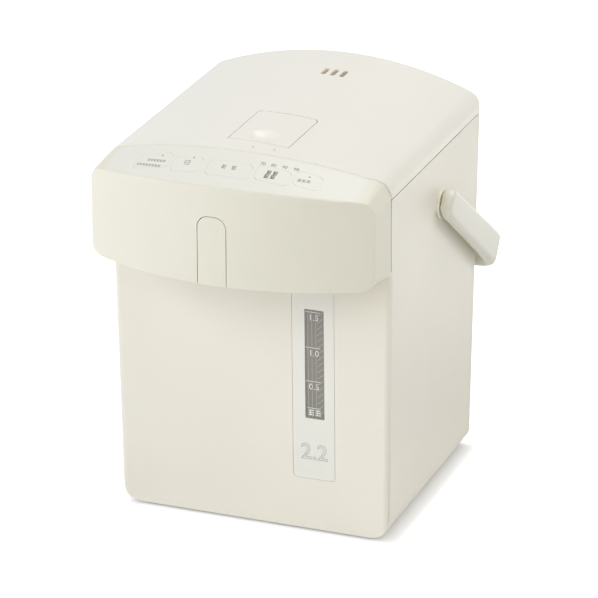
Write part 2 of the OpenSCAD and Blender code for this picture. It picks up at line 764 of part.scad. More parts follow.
module head_profile(i, z1) polygon(concat(
    arc([hw - head_corner_r, head_h + head_corner_r], head_corner_r - i, -90, 0),
    [[hw - i, z1], [i - hw, z1]],
    arc([head_corner_r - hw, head_h + head_corner_r], head_corner_r - i, 180, 270)));

// Everything inside the lid's front bow, for z0 to z1
module inside_bow(r, z0, z1) along_z(z0, z1) intersection() {
    translate([-hw - 3, -60]) square([case_w + 6, case_d + 60]);
    union() {
        translate([0, bow_y]) circle(r, $fn = 180);
        translate([-hw - 3, bow_y]) square([case_w + 6, case_d]);
    }
}

deck_columns = [for (i = [0 : 32])
    let (a = -90 + 180 * i / 32) (hw - 0.02) * (0.35 * sin(a) + 0.65 * a / 90)];

deck_rows = 6;
function rows(t0, t1) = [for (i = [0 : deck_rows]) t0 + (t1 - t0) * i / deck_rows];

// Slab under the control deck between depths d0 and d1, columns x, rows t0 to t1
function deck_rings(columns, t0, t1, d0, d1) = [for (x = columns)
    concat([for (t = rows(t0, t1)) deck_at(x, t, d1)], [for (t = rows(t1, t0)) deck_at(x, t, d0)])];

function span_columns(x0, x1, n) = [for (i = [0 : n]) x0 + (x1 - x0) * i / n];

// All that lies above the deck sunk by d
module over_columns(columns, t0, t1, d) skin([for (x = columns)
    concat([for (t = rows(t0, t1)) deck_at(x, t, d)],
           [[x, deck_at(x, t1)[1], lid_top + 9], [x, deck_at(x, t0)[1], lid_top + 9]])]);

module above_deck(d) over_columns(concat([-hw - 2], deck_columns, [hw + 2]), -0.08, 1.12, d);

module head_form(i) difference() {
    intersection() {
        along_z(head_h + i, lid_top + 5) head_plan(i, 3);
        along_y(-head_reach - 1, 3) head_profile(i, lid_top + 5);
    }
    case_form(-0.1, foot_gap, lid_top, bottom_r);
    above_deck(i);
    inside_bow(lid_bow_r + seam_gap / 2 + i, case_top - i, lid_top + 8);
}

module spout_outline(i) translate([spout_x, 0]) {
    half = spout_w / 2 - i;
    r = spout_r - i;
    translate([-half, head_h - 1]) square([2 * half, spout_top - i - r - head_h + 1]);
    translate([r - half, spout_top - i - r - 1]) square([2 * (half - r), r + 1]);
    for (s = [-1, 1]) translate([s * (half - r), spout_top - i - r]) circle(r);
}

module head_opening(i) intersection() {
    head_plan(wall + i, 0);
    translate([i - hw + head_corner_r + 1, -head_reach])
        square([case_w - 2 * head_corner_r - 2 - 2 * i, head_reach + 5]);
}

module at_key(place) translate(deck_at(place[0], 0.5)) rotate([deck_tilt, 0, 0]) children();

module key_prism(place, grow, z0 = -12, z1 = 12) at_key(place)
    along_z(z0, z1) round_rect(place[1] + 2 * grow, key_d + 2 * grow, key_r);

bolt_slot = 0.3;

module head_shell() color(cream) placed() difference() {
    head_form(0);
    difference() {
        head_form(wall);
        // Deck wall under the film and the two posts of the board
        above_deck(film_t + wall + 0.2);
        translate(board_middle) rotate([deck_tilt, 0, 0]) for (x = [board_left + 1.9, board_right - 1.9])
            translate([x, -1, board_t / 2 + touch]) cylinder(r = 1.7, h = 12);
    }
    // Open rear and underside
    intersection() {
        along_z(head_h + wall, case_top - wall) head_plan(wall, 3);
        box([wall - hw, -8, head_h + wall], [hw - wall, 3, case_top - wall]);
    }
    along_z(head_h - 1, head_h + wall + 1) head_opening(0);
    along_y(-head_reach - 2, -head_reach + 8) spout_outline(0);
    // Seat of the film and the key holes
    skin(deck_rings(span_columns(-film_x - 0.3, film_x + 0.3, 24), 0.05, 0.95, -1, film_t + 0.1));
    for (place = keys) key_prism(place, key_gap);
    // Catch of the latch bolt
    box([lever_x - bolt_w / 2 - 0.6, -lid_reach - 6, bolt_z - 0.5],
        [lever_x + bolt_w / 2 + 0.6, -lid_reach + 3, bolt_z + bolt_t + 0.5]);
}

module head_bottom() color(cream) placed() difference() {
    along_z(head_h, head_h + 2) head_opening(fit);
    box([spout_x - spout_w / 2 - fit, -head_reach, head_h - 1],
        [spout_x + spout_w / 2 + fit, -nozzle_reach + 9 + fit, head_h + 3]);
}

module spout_cover() color(cream) placed() difference() {
    intersection() {
        head_form(0);
        along_y(-head_reach - 1, -nozzle_reach + 9) spout_outline(0.5);
    }
    along_y(-head_reach + 3, -nozzle_reach + 20) spout_outline(2.4);
}

module control_panel() color(panel_white) placed() difference() {
    skin(deck_rings(span_columns(-film_x, film_x, 24), 0.056, 0.944, 0, film_t));
    for (place = keys) key_prism(place, key_gap);
}

// How far the deck falls away, along its normal, from the middle of a key to its outer end
function key_drop(place) = (deck_at(place[0], 0.3) -
    deck_at(abs(place[0]) + place[1] / 2 + key_flange, 0.3)) * deck_normal;

module key(place) color(panel_white) placed() {
    x = place[0];
    w = place[1];
    flange_top = -(film_t + wall + 0.2) * cos(deck_tilt) - key_drop(place) - 0.4;
    stem_end = board_t / 2 + 0.5 + key_travel + 0.2
        - (deck_at(x, 0.5) - board_middle) * deck_normal;
    difference() {
        key_prism(place, 0, flange_top - 0.5, 3);
        over_columns(span_columns(x - w / 2 - 3, x + w / 2 + 3, 5), 0.02, 1, 0.05);
    }
    // Side wings that keep the key in, and the stem over its switch
    at_key(place) along_z(flange_top - 1.2, flange_top)
        round_rect(w + 2 * key_flange, key_d - 4, 2);
    at_key(place) rod_z(0, 0, 2, stem_end, flange_top - 1);
}

board_middle = deck_at(0, 0.5) - board_depth * deck_normal;

module reboil_key() key(reboil_place);
module lock_key() key(lock_place);
module dispense_key() key(dispense_place);
module temperature_key() key(temperature_place);
module power_key() key(power_place);

module control_board() color(board_green) placed() translate(board_middle) rotate([deck_tilt, 0, 0]) {
    translate([board_left, -7, -board_t / 2]) cube([board_right - board_left, 11, board_t]);
    for (place = keys) {
        off = deck_at(place[0], 0.5) - deck_at(0, 0.5);
        up = off[1] * cos(deck_tilt) + off[2] * sin(deck_tilt);
        translate([place[0], up, board_t / 2]) cylinder(r = 3, h = 0.5, $fn = 24);
    }
    translate([-20, -5, -board_t / 2 - 3]) cube([14, 8, 3.01]);
    translate([10, -5, -board_t / 2 - 5]) cube([10, 6, 5.01]);
}

// ---------- Gauge ----------

module front_layer(d0, d1) difference() {
    case_form(d0, foot_gap, case_top, bottom_r - 1);
    case_form(d1, foot_gap - 5, case_top + 5, bottom_r - 2);
}

module gauge_panel() color(panel_white) placed() difference() {
    intersection() {
        front_layer(0, panel_t);
        along_y(-1, 12) gauge_outline(gauge_w - 0.5, gauge_low + 0.25, gauge_high - 0.25, 2.8);
    }
    along_y(-1, 12) gauge_outline(window_w, window_low, window_high, 0.6);
}

module gauge_window() color([0.7, 0.72, 0.7, 0.4]) placed() {
    intersection() {
        front_layer(panel_t + 0.1, panel_t + 0.1 + window_t);
        along_y(-1, 12) gauge_outline(window_w + 5.6, window_low - 2.8, window_high + 2.8, 1.8);
    }
    intersection() {
        front_layer(0.6, panel_t + 0.2);
        along_y(-1, 12) gauge_outline(window_w - 0.2, window_low + 0.1, window_high - 0.1, 0.5);
    }
}

// ---------- Electrics ----------

// Lengths back from the board's front edge: transformer, relay, capacitors, two terminal blocks
module power_board() color(board_green) placed() translate([0, power_y, 0]) union() {
    difference() {
        box([-76, 0, 18], [-8, 76, 19.6]);
        for (x = [-70, -14], y = [6, 70]) rod_z(x, y, 1.2, 10, 30);
    }
    box([-70, 14, 19.5], [-44, 36, 40]);
    box([-34, 14, 19.5], [-18, 28, 35]);
    for (y = [44, 58]) rod_z(-60, y, 5, 19.5, 34);
    box([-44, 44, 19.5], [-22, 48, 32]);
    box([-30, 64, 19.5], [-16, 72, 28]);
}

module power_inlet() color(dark) placed() {
    back = case_back(inlet_z) - inlet_depth;
    difference() {
        union() {
            along_y(back - 10, back - fit) translate([0, inlet_z])
                round_rect(inlet_w - 8 - 2 * fit, inlet_tall - 8 - 2 * fit, 2);
            along_y(back - 15, back - 6 - touch) translate([0, inlet_z])
                round_rect(inlet_w - 2, inlet_tall - 2, 2);
        }
        for (s = [-1, 1]) rod_y(s * 6, inlet_z, 1.5, back - 20, back + 5);
        // Seats of the two plug magnets
        for (s = [-1, 1]) rod_y(s * 6, inlet_z + 6, 2.2, back - 2, back + 5);
    }
}

module inlet_pins() color(copper) placed() {
    back = case_back(inlet_z) - inlet_depth;
    for (s = [-1, 1]) rod_y(s * 6, inlet_z, 1.45, back - 19, back + 6);
    for (s = [-1, 1]) rod_y(s * 6, inlet_z + 6, 2.15, back - 1.95, back + 0.6);
}

// Wires: from the inlet, to the heater, to the motor and up to the control board
pin_end = case_back(inlet_z) - inlet_depth - 19;
wire_front = 9.6;
harness_inlet = [[-6, pin_end - 0.4, inlet_z], [-8, power_y + 73.5, 33.6], [-14, power_y + 71, 32.6],
                 [-19, power_y + 69, 32.2], [-22.4, power_y + 68, 31], [-23, power_y + 68, 28.4]];
harness_heater = [[-40, power_y + 46, 32.4], [-40, power_y + 45, 36], [-37, power_y + 38, 46],
                  [-32, container_y + 2, 55], [-26, container_y - 20, 62],
                  [-24, container_y - 32, floor_h - 18], [-23.5, container_y - 34.6, floor_h - 15.4]];
harness_motor = [[-26, power_y + 20, 35.4], [-25.6, power_y + 19, 39], [-16, power_y + 15, 43],
                 [0, power_y + 8, 40], [14, pump_y + 28, 31], [22, pump_y + 24, 26.4],
                 [24, pump_y + 22.55, 25.3]];
harness_head = [[-57, power_y + 13.6, 33], [-60, power_y + 8, 36], [-68, power_y - 10, 46],
                [-84, 30, 62], [-87, wire_front + 3, 90], [-87, wire_front, 150],
                [-82, wire_front - 2, 190],
                [-66, wire_front - 2.6, head_h + 12.5], [-46, wire_front - 2.8, head_h + 18.5],
                [-34, wire_front - 4.6, head_h + 20.5], [-32, -8, head_h + 22.5],
                [-32, -22, head_h + 30.5], [-32, -31, head_h + 44.5], [-32, -36.5, head_h + 55.7]];

module wire_harness() color([0.7, 0.2, 0.15]) placed() {
    for (path = [harness_inlet, harness_heater, harness_motor, harness_head]) wire(path, 1.2, 8);
}

// ---------- Handle ----------

// Strap section: a rounded rectangle t thick and handle_w wide
function strap_section(t) =
    let (r = strap_edge_r, a = t / 2 - r, b = handle_half - r)
    concat(arc([a, b], r, 0, 90, 3), arc([-a, b], r, 90, 180, 3),
           arc([-a, -b], r, 180, 270, 3), arc([a, -b], r, 270, 360, 3));

// A ring of the strap: point at u along the arm and x across, the strap's own thickness across it
function strap_ring(x, u, turn, t) = [for (p = strap_section(t))
    let (uu = u + p[0] * sin(turn), xx = x + p[0] * cos(turn))
    [xx, pivot_y + uu * cos(handle_drop) + p[1] * sin(handle_drop),
     pivot_h - uu * sin(handle_drop) + p[1] * cos(handle_drop)]];

bend_steps = 8;
function blend_t(s) = arm_t + (grip_t - arm_t) * s;
function handle_half_rings() = concat(
    [for (u = [0, 40, 80]) strap_ring(handle_x - arm_t / 2, u, 0, arm_t)],
    [for (i = [0 : bend_steps])
        let (a = 90 * i / bend_steps, t = blend_t(i / bend_steps), r = handle_r - t / 2)
        strap_ring(handle_x - handle_r + r * cos(a), handle_len - handle_r + r * sin(a), a, t)],
    [strap_ring(40, handle_len - grip_t / 2, 90, grip_t)]);

function mirrored(ring) = [for (p = ring) [-p[0], p[1], p[2]]];

// The mirrored half runs backwards, with its points in the opposite order to match
function matched(ring) = [for (j = [0 : len(ring) - 1]) ring[(len(ring) - 1 - j + 0) % len(ring)]];

module handle() color(light_cream) placed() difference() {
    union() {
        both_sides() {
            skin(concat(handle_half_rings(), [strap_ring(0, handle_len - grip_t / 2, 90, grip_t)]));
            rod_x(pivot_y, pivot_h, handle_half, strap_x, handle_x - 1.5);
            translate([handle_x - 1.5, pivot_y, pivot_h]) rotate([0, 90, 0])
                cylinder(r1 = handle_half, r2 = handle_half - 1.5, h = 1.5);
        }
    }
    both_sides() rod_x(pivot_y, pivot_h, handle_pin_r + running, strap_x - 1, handle_x - 2);
}

module handle_pins() color(steel) placed() both_sides() {
    rod_x(pivot_y, pivot_h, handle_pin_r, hw - 8, handle_x - 2.4);
    rod_x(pivot_y, pivot_h, handle_pin_r + 3, hw - 10, hw - 6.1);
}

// ---------- Lid ----------

module lid_section(i, z0) along_y(-head_reach, case_d + 1) polygon(concat(
    [for (p = arch(hw - i, crown_r - i, shoulder_r - i)) [p[0], lid_top - i + p[1]]],
    [[i - hw, z0], [hw - i, z0]]));

module lid_form(i, z0) intersection() {
    lid_section(i, z0);
    inside_bow(lid_bow_r - seam_gap / 2 - i, z0 - 1, lid_top + 1);
    along_z(z0 - 1, lid_top + 1) lid_rear_plan(i);
}

module lid_rear_plan(i) {
    r = edge_r - min(i, edge_r - 1);
    translate([i - hw, -60]) square([case_w - 2 * i, case_d + 60 - i - r]);
    translate([i - hw + r, 0]) square([case_w - 2 * i - 2 * r, case_d - i]);
    for (s = [-1, 1]) translate([s * (hw - i - r), case_d - i - r]) circle(r);
}

module lever_outline(i) {
    w = lever_w - 2 * i;
    front = lever_front + 1.2 * i;
    back = lever_back - 2 * i;
    r = 4 - i / 2;
    translate([lever_x - w / 2, front]) square([w, back - front - r]);
    translate([lever_x - w / 2 + r, front]) square([w - 2 * r, back - front]);
    for (s = [-1, 1]) translate([lever_x + s * (w / 2 - r), back - r]) circle(r);
}

module vent_slots(z0, z1) for (i = [0 : vent_count - 1]) {
    x = lever_x - 1.2 + vent_pitch * (i - (vent_count - 1) / 2);
    along_z(z0, z1) translate([x, vent_y]) round_rect(vent_w, vent_len, vent_w / 2 - 0.01);
}

screw_x = hw - 13;
screw_places = [26, 148];

// Notches round the hinge lugs, through the rolled edge
module lug_notches() both_sides()
    box([lug_x - lug_w / 2 - 0.5, hinge_y - hinge_r - 1, lid_low - 1],
        [lug_x + lug_w / 2 + 0.5, case_d + 1, hinge_z + hinge_r - 0.5]);

module lid_cover() color(light_cream) placed() difference() {
    union() {
        difference() {
            lid_form(0, lid_low);
            lid_form(wall, lid_low - 1);
        }
        intersection() {
            lid_form(wall / 2, lid_low);
            union() {
                // Pocket under the lever
                difference() {
                    along_z(pocket_floor - 2, lid_top) offset_lever(2);
                    along_z(pocket_floor, lid_top + 1) lever_outline(0);
                }
                rod_z(spring_x, spring_y, 2, pocket_floor - 1, pocket_floor + 3);
                // Bosses of the lever pin and of the screws
                for (s = [-1, 1]) rod_x(lever_axis_y, lever_axis_z, 3.4,
                    lever_x + s * (lever_w / 2 + 2) - 2.5, lever_x + s * (lever_w / 2 + 2) + 2.5);
                both_sides() for (y = screw_places) rod_z(screw_x, y, 4, lid_low + wall + 0.3, lid_top);
            }
        }
    }
    difference() {
        along_z(pocket_floor + 1, lid_top + 1) lever_outline(0);
        rod_z(spring_x, spring_y, 2, pocket_floor, pocket_floor + 3);
    }
    // Slot in the pocket floor for the lever's arm
    box([lever_x - 4, lever_axis_y - 4, pocket_floor - 3], [lever_x + 4, lever_axis_y + 7, pocket_floor + 3]);
    rod_x(lever_axis_y, lever_axis_z, lever_pin_r + touch,
          lever_x - lever_w / 2 - 4, lever_x + lever_w / 2 + 4);
    vent_slots(lid_top - 12, lid_top + 1);
    // Way of the latch bolt through the front wall
    box([lever_x - bolt_w / 2 - bolt_slot, -lid_reach - 2, bolt_z - bolt_slot],
        [lever_x + bolt_w / 2 + bolt_slot, -lid_reach + 8, bolt_z + bolt_t + bolt_slot]);
    both_sides() for (y = screw_places) rod_z(screw_x, y, 1.4, lid_low, lid_low + 14);
    // The rolled rear edge
    difference() {
        box([-hw - 1, hinge_y, lid_low - 1], [hw + 1, case_d + 1, hinge_z]);
        rod_x(hinge_y, hinge_z, hinge_r, -hw - 2, hw + 2);
    }
    box([wall - hw, hinge_y - hinge_r - 0.3, lid_low - 1], [hw - wall, case_d + 1, hinge_z + touch]);
    lug_notches();
}

module offset_lever(t) {
    translate([lever_x - lever_w / 2 - t, lever_front - t])
        square([lever_w + 2 * t, lever_back - lever_front + 2 * t]);
}

module lid_liner() color(light_cream) placed() difference() {
    union() {
        intersection() {
            lid_form(wall + fit, lid_low);
            box([-hw, -40, lid_low], [hw, hinge_y, lid_low + wall]);
        }
        intersection() {
            rod_x(hinge_y, hinge_z, hinge_r, -hw, hw);
            lid_section(wall + fit, lid_low);
        }
        rod_z(0, container_y, plug_r, plug_low, lid_low + 1);
        // Rails of the bolt
        for (s = [-1, 1]) box([lever_x + s * (bolt_w / 2 + 1.5) - 1, -8, lid_low + wall - 0.1],
                              [lever_x + s * (bolt_w / 2 + 1.5) + 1, 44, bolt_z + bolt_t - 0.5]);
        // Bridge that holds the bolt down
        box([lever_x - bolt_w / 2 - 2.5, -6, bolt_z + bolt_t + 0.4],
            [lever_x + bolt_w / 2 + 2.5, -1, bolt_z + bolt_t + 2]);
        for (s = [-1, 1]) box([lever_x + s * (bolt_w / 2 + 1.5) - 1, -6, lid_low + wall],
                              [lever_x + s * (bolt_w / 2 + 1.5) + 1, -1, bolt_z + bolt_t + 0.5]);
        rod_z(lever_x - 1.2, vent_y, 8, plug_low, lid_low + wall + 2);
    }
    difference() {
        rod_z(0, container_y, plug_r - wall, plug_low - 1, lid_low);
        rod_z(lever_x - 1.2, vent_y, 8, plug_low - 2, lid_low + wall + 2);
    }
    rod_z(lever_x - 1.2, vent_y, 5.5, plug_low - 1, seam_h + 20);
    both_sides() for (y = screw_places) {
        rod_z(screw_x, y, 1.6, lid_low - 1, lid_low + 4);
        rod_z(screw_x, y, 3.1, lid_low - 1, lid_low + 1.2);
    }
    rod_x(hinge_y, hinge_z, hinge_pin_r + running, -lug_x - 20.5, lug_x + 20.5);
    lug_notches();
    // Relief of the rolled edge above the pin
    box([-hw, hinge_y - hinge_r - 1, hinge_z + hinge_r - 0.2], [hw, case_d + 1, hinge_z + hinge_r + 1]);
    box([-hw, case_d - wall - fit, hinge_z], [hw, case_d + 1, hinge_z + hinge_r + 1]);
}

module lid_plate() color(steel) placed() translate([0, container_y, 0]) difference() {
    rotate_extrude($fn = 96) polygon([
        [0, plug_low - 1.6], [plug_r - 16, plug_low - 1.6], [plug_r - 12, plug_low - 0.9],
        [plug_r - 3.4, plug_low - 0.9], [plug_r - 3.4, plug_low - touch], [plug_r - 12.3, plug_low - touch],
        [plug_r - 16.3, plug_low - 0.8], [0, plug_low - 0.8]]);
    for (a = [0 : 60 : 300])
        translate([lever_x - 1.2 + 3 * cos(a), vent_y - container_y + 3 * sin(a), plug_low - 3])
            cylinder(r = 0.9, h = 5, $fn = 16);
}

module lid_gasket() color(silicone) placed() translate([0, container_y, 0])
    rotate_extrude($fn = 96) polygon([
        [plug_r - 3.2, plug_low - touch], [plug_r - 3.2, flange_h + 1.2], [plug_r - 2.4, flange_h + 0.35],
        [plug_r - 0.6, flange_h + 0.35], [plug_r, flange_h + 1.4], [plug_r, plug_low - touch]]);

module lid_screws() color(steel) placed() both_sides() for (y = screw_places) {
    rod_z(screw_x, y, 2.9, lid_low, lid_low + 1.1);
    rod_z(screw_x, y, 1.3, lid_low + 1, lid_low + 12);
}

// Chimney between the liner and the vents
module steam_duct() color(brown) placed() difference() {
    union() {
        intersection() {
            lid_form(wall + touch, lid_low);
            along_z(lid_low + wall + 2.1, lid_top) translate([lever_x - 1.2, vent_y]) round_rect(24, 18, 3);
        }
    }
    intersection() {
        lid_form(wall - 0.5, lid_low);
        along_z(lid_low + wall + 3.6, lid_top) translate([lever_x - 1.2, vent_y]) round_rect(21, 15, 1.5);
    }
    rod_z(lever_x - 1.2, vent_y, 5.5, lid_low, lid_low + 8);
}

module lever_pin() color(steel) placed()
    rod_x(lever_axis_y, lever_axis_z, lever_pin_r, lever_x - lever_w / 2 - 3.6, lever_x + lever_w / 2 + 3.6);

module lid_lever() color(light_cream) placed() difference() {
    union() {
        intersection() {
            difference() {
                lid_form(0, lid_low);
                lid_form(wall, lid_low - 1);
            }
            along_z(seam_h, lid_top + 2) lever_outline(lever_gap);
        }
        intersection() {
            lid_form(0, lid_low);
            union() {
                // Bowl under the dimple, side flanges and the arm that drives the bolt
                rod_z(lever_x + 0.4, 6, dimple_d / 2 + 2, lid_top - dimple_depth - wall - 1.2, lid_top);
                for (s = [-1, 1]) lever_flange(lever_x + s * (lever_w / 2 - lever_gap - 1.5), 1.2);
                lever_flange(lever_x, 3);
                box([lever_x - 3, lever_axis_y - 1.4, arm_nose],
                    [lever_x + 3, lever_axis_y + 1.4, lever_axis_z]);
                rod_x(lever_axis_y, arm_nose, nose_r, lever_x - 3, lever_x + 3);
            }
        }
    }
    dimple_ball = (pow(dimple_d / 2, 2) + pow(dimple_depth, 2)) / (2 * dimple_depth);
    translate([lever_x + 0.4, 6, lid_surface(lever_x) - dimple_depth + dimple_ball])
        sphere(dimple_ball, $fn = 96);
    rod_x(lever_axis_y, lever_axis_z, lever_pin_r + running, lever_x - lever_w, lever_x + lever_w);
}

module lever_flange(x, half) {
    rod_x(lever_axis_y, lever_axis_z, 3, x - half, x + half);
    box([x - half, lever_axis_y - 3, lever_axis_z], [x + half, lever_axis_y + 3, lid_top]);
}

module latch_bolt() color(panel_white) placed() difference() {
    union() {
        box([lever_x - bolt_w / 2, bolt_tip + 3, bolt_z],
            [lever_x + bolt_w / 2, lever_axis_y + 14, bolt_z + bolt_t]);
        // Nose with its ramp, short of the catch by the running gap
        along_x(lever_x - bolt_w / 2, lever_x + bolt_w / 2) polygon([
            [bolt_tip + 3.1, bolt_z], [bolt_tip + 1.6, bolt_z], [bolt_tip, bolt_z + bolt_t * 0.6],
            [bolt_tip, bolt_z + bolt_t], [bolt_tip + 3.1, bolt_z + bolt_t]]);
    }
    // Window round the nose of the lever's arm
    box([lever_x - 3.4, lever_axis_y - nose_r - 0.3, bolt_z - 1],
        [lever_x + 3.4, lever_axis_y + nose_r + 0.3, bolt_z + bolt_t + 1]);
}

function coil(r, length, turns, steps) = [for (i = [0 : steps])
    [r * cos(360 * turns * i / steps), r * sin(360 * turns * i / steps), length * i / steps]];

// Return spring between the pocket floor and the lever
module lever_spring() color(steel) placed() translate([spring_x, spring_y, pocket_floor + 0.4])
    wire(coil(3, lid_surface(spring_x + 3) - wall - pocket_floor - 1.2, 5, 80), 0.35, 6);

outer_case();
base_plate();
feet();
base_screws();
top_ring();
hinge_pin();
container();
heat_shield();
heater_plate();
thermostat();
pump_housing();
pump_cover();
pump_motor();
drive_magnet();
impeller();
suction_hose();
riser_elbow();
level_tube();
upper_elbow();
tip_valve();
valve_plunger();
outlet_pipe();
spout_nozzle();
head_shell();
head_bottom();
spout_cover();
control_panel();
control_board();
reboil_key();
lock_key();
dispense_key();
temperature_key();
power_key();
gauge_panel();
gauge_window();
power_board();
wire_harness();
power_inlet();
inlet_pins();
handle();
handle_pins();
lid_cover();
lid_liner();
lid_plate();
lid_gasket();
lid_screws();
steam_duct();
lever_pin();
lever_spring();
lid_lever();
latch_bolt();
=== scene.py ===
# %% [markdown]
# Electric thermo pot, dressed for the camera.
# A thermo pot boils water and keeps it hot, and a pump under the container sends it to the spout.
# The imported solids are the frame: every object made here sits in the same metres and the same axes,
# with the origin on the table under the pot, the front towards -Y and +Z up. This file gives the
# solids their finishes, and makes new pieces where the smooth skin of the real pot shows.

import json
import math

import bmesh
import bpy
from mathutils import Matrix, Vector


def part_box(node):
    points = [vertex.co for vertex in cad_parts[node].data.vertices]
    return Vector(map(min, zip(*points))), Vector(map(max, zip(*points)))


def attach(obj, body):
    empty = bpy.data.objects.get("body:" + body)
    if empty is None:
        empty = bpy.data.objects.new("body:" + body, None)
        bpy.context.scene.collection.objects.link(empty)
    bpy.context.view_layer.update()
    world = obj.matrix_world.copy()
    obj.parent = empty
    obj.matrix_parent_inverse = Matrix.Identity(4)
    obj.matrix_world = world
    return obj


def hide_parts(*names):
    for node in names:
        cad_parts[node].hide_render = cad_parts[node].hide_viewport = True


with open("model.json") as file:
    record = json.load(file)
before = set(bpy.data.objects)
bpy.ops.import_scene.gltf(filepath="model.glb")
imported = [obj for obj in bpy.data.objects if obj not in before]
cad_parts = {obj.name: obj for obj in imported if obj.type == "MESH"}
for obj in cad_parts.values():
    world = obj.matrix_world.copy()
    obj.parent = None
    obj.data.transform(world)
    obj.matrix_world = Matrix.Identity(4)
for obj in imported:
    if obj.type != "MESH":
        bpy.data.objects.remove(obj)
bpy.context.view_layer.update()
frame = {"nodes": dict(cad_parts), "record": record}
nodes = frame["nodes"]

# %% [markdown]
# The pot was designed in a frame of its own, with Y = 0 at the top of the case front. The part moves
# that frame back, so that the origin lies under the middle of the whole object. The sizes below are
# the designer's sizes in millimetres, and `placed` turns such a place into metres in the row frame.

# %% Sizes of the shells
CASE_WIDTH, SEAM_HEIGHT = 195.0, 243.5
HALF = CASE_WIDTH / 2
FRONT_DRAFT = math.radians(1.3)
LID_TOP, CROWN_R, SHOULDER_R = 274.0, 244.0, 13.0
LID_REACH, LID_BOW_R = 25.0, 203.0
HEAD_REACH, BROW_HEIGHT, BROW_R, HEAD_ROUND_R = 57.0, 258.5, 690.0, 9.0
SOLID_BOW_R, SOLID_CORNER_R, SOLID_LOW = 171.0, 4.0, 191.5
FACE_BOW_R, FACE_CORNER_R, FACE_LOW = 192.0, 3.5, 192.3
SHIFT_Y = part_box("head_shell")[0].y * 1000 + HEAD_REACH


def placed(x, y, z):
    """A place of the designer's frame, in metres in the row frame."""
    return Vector((x / 1000, (y + SHIFT_Y) / 1000, z / 1000))


print("designer's frame is moved by", round(SHIFT_Y, 2), "mm in Y")

# %% [markdown]
# The crown of the lid, the brow of the head and the bows seen from above are all the same outline: a
# wide arc that ends in two small corner arcs. `arch_height` gives that outline's height under its
# apex at a place across it.

# %% The outline that the shells share
def arch_height(x, half, wide_r, corner_r):
    """Height of a corner-rounded arch at x, measured from its apex."""
    centre_x = half - corner_r
    centre_z = math.sqrt((wide_r - corner_r) ** 2 - centre_x ** 2) - wide_r
    turn = centre_x * wide_r / (wide_r - corner_r)
    x = min(abs(x), half)
    if x < turn:
        return math.sqrt(wide_r ** 2 - x ** 2) - wide_r
    return centre_z + math.sqrt(max(0.0, corner_r ** 2 - (x - centre_x) ** 2))


def lid_height(x):
    return LID_TOP + arch_height(x, HALF, CROWN_R, SHOULDER_R)


def brow_height(x):
    return BROW_HEIGHT + arch_height(x, HALF, BROW_R, HEAD_ROUND_R)


def lid_edge(x):
    return LID_BOW_R - LID_REACH - math.sqrt(LID_BOW_R ** 2 - x * x)


print("the crown falls", round(LID_TOP - lid_height(HALF), 1), "mm towards its sides")

# %% [markdown]
# The face of the head is such an outline too, seen from above. It is given twice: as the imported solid
# has it, and as it is shown. The control deck is the ruled surface between the lid's front edge and
# the brow, so a place on it is named by x and by t, which runs from 0 at the lid to 1 at the brow.

# %% The head's face and the control deck
def solid_face(x):
    """The head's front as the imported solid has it."""
    return -HEAD_REACH - arch_height(x, HALF, SOLID_BOW_R, SOLID_CORNER_R)


def face_edge(x):
    """The head's front as it is shown: a little flatter, with crisper ends."""
    return -HEAD_REACH - arch_height(x, HALF, FACE_BOW_R, FACE_CORNER_R)


def deck(x, t, sink=0.0):
    """A place on the control deck, sunk by that many millimetres."""
    return (x, lid_edge(x) * (1 - t) + face_edge(x) * t,
            lid_height(x) * (1 - t) + brow_height(x) * t - sink)


DECK_TILT = math.atan((LID_TOP - BROW_HEIGHT) / (HEAD_REACH - LID_REACH))
print("deck tilt", round(math.degrees(DECK_TILT), 1), "degrees")

# %% [markdown]
# Materials and Geometry Nodes are both node graphs. A graph reads better as a formula, so a socket is
# wrapped in a small class: `mask * 0.3 + 0.5` adds the Math nodes for it. `Graph` holds one tree and has
# one method that adds any other node with its settings first and its inputs after them.

# %% A socket that can be added and multiplied
class Signal:
    """A number or a vector that comes out of a node."""

    def __init__(self, graph, socket):
        self.graph, self.socket = graph, socket

    def maths(self, kind, *values, **settings):
        return self.graph.node("ShaderNodeMath", {"operation": kind, **settings}, *values)

    def __add__(self, other):
        return self.maths("ADD", self, other)

    __radd__ = __add__

    def __mul__(self, other):
        return self.maths("MULTIPLY", self, other)

    __rmul__ = __mul__

    def __sub__(self, other):
        return self.maths("SUBTRACT", self, other)

    def __rsub__(self, other):
        return self.maths("SUBTRACT", other, self)

    def __truediv__(self, other):
        return self.maths("DIVIDE", self, other)

    def root(self):
        return self.maths("SQRT", self)

    def size(self):
        return self.maths("ABSOLUTE", self)

    def at_least(self, floor):
        return self.maths("MAXIMUM", self, floor)

    def at_most(self, ceiling):
        return self.maths("MINIMUM", self, ceiling)


# %% [markdown]
# A tree holds the nodes and links of a material or of a Geometry Nodes modifier. It could be wired by
# hand in the editor, but a script can be read through and run again. One method serves every type of
# node: it makes the node, changes its settings first, because they can change its sockets, and then
# fills or links its inputs.

# %% A tree and the one method that adds its nodes
class Graph:
    """A node tree that grows one node at a time."""

    def __init__(self, tree):
        self.tree = tree

    def node(self, kind, settings, *values, output=0, **named):
        """Adds a node: settings first, then its inputs by order or by name."""
        made = self.tree.nodes.new(kind)
        for key, value in settings.items():
            setattr(made, key, value)
        for key, value in [*enumerate(values), *named.items()]:
            socket = made.inputs[key.replace("_", " ") if isinstance(key, str) else key]
            if isinstance(value, Signal):
                self.tree.links.new(value.socket, socket)
            elif value is not None:
                socket.default_value = value
        return Signal(self, made.outputs[output])


# %% [markdown]
# All finishes of the pot use the Principled shader, which covers plastic, metal and glass alike. What
# changes over a surface is worked out from Object coordinates, so that a pattern stays on its piece
# when the piece moves. A bump only tilts the light, which is enough for a grain too fine to model.

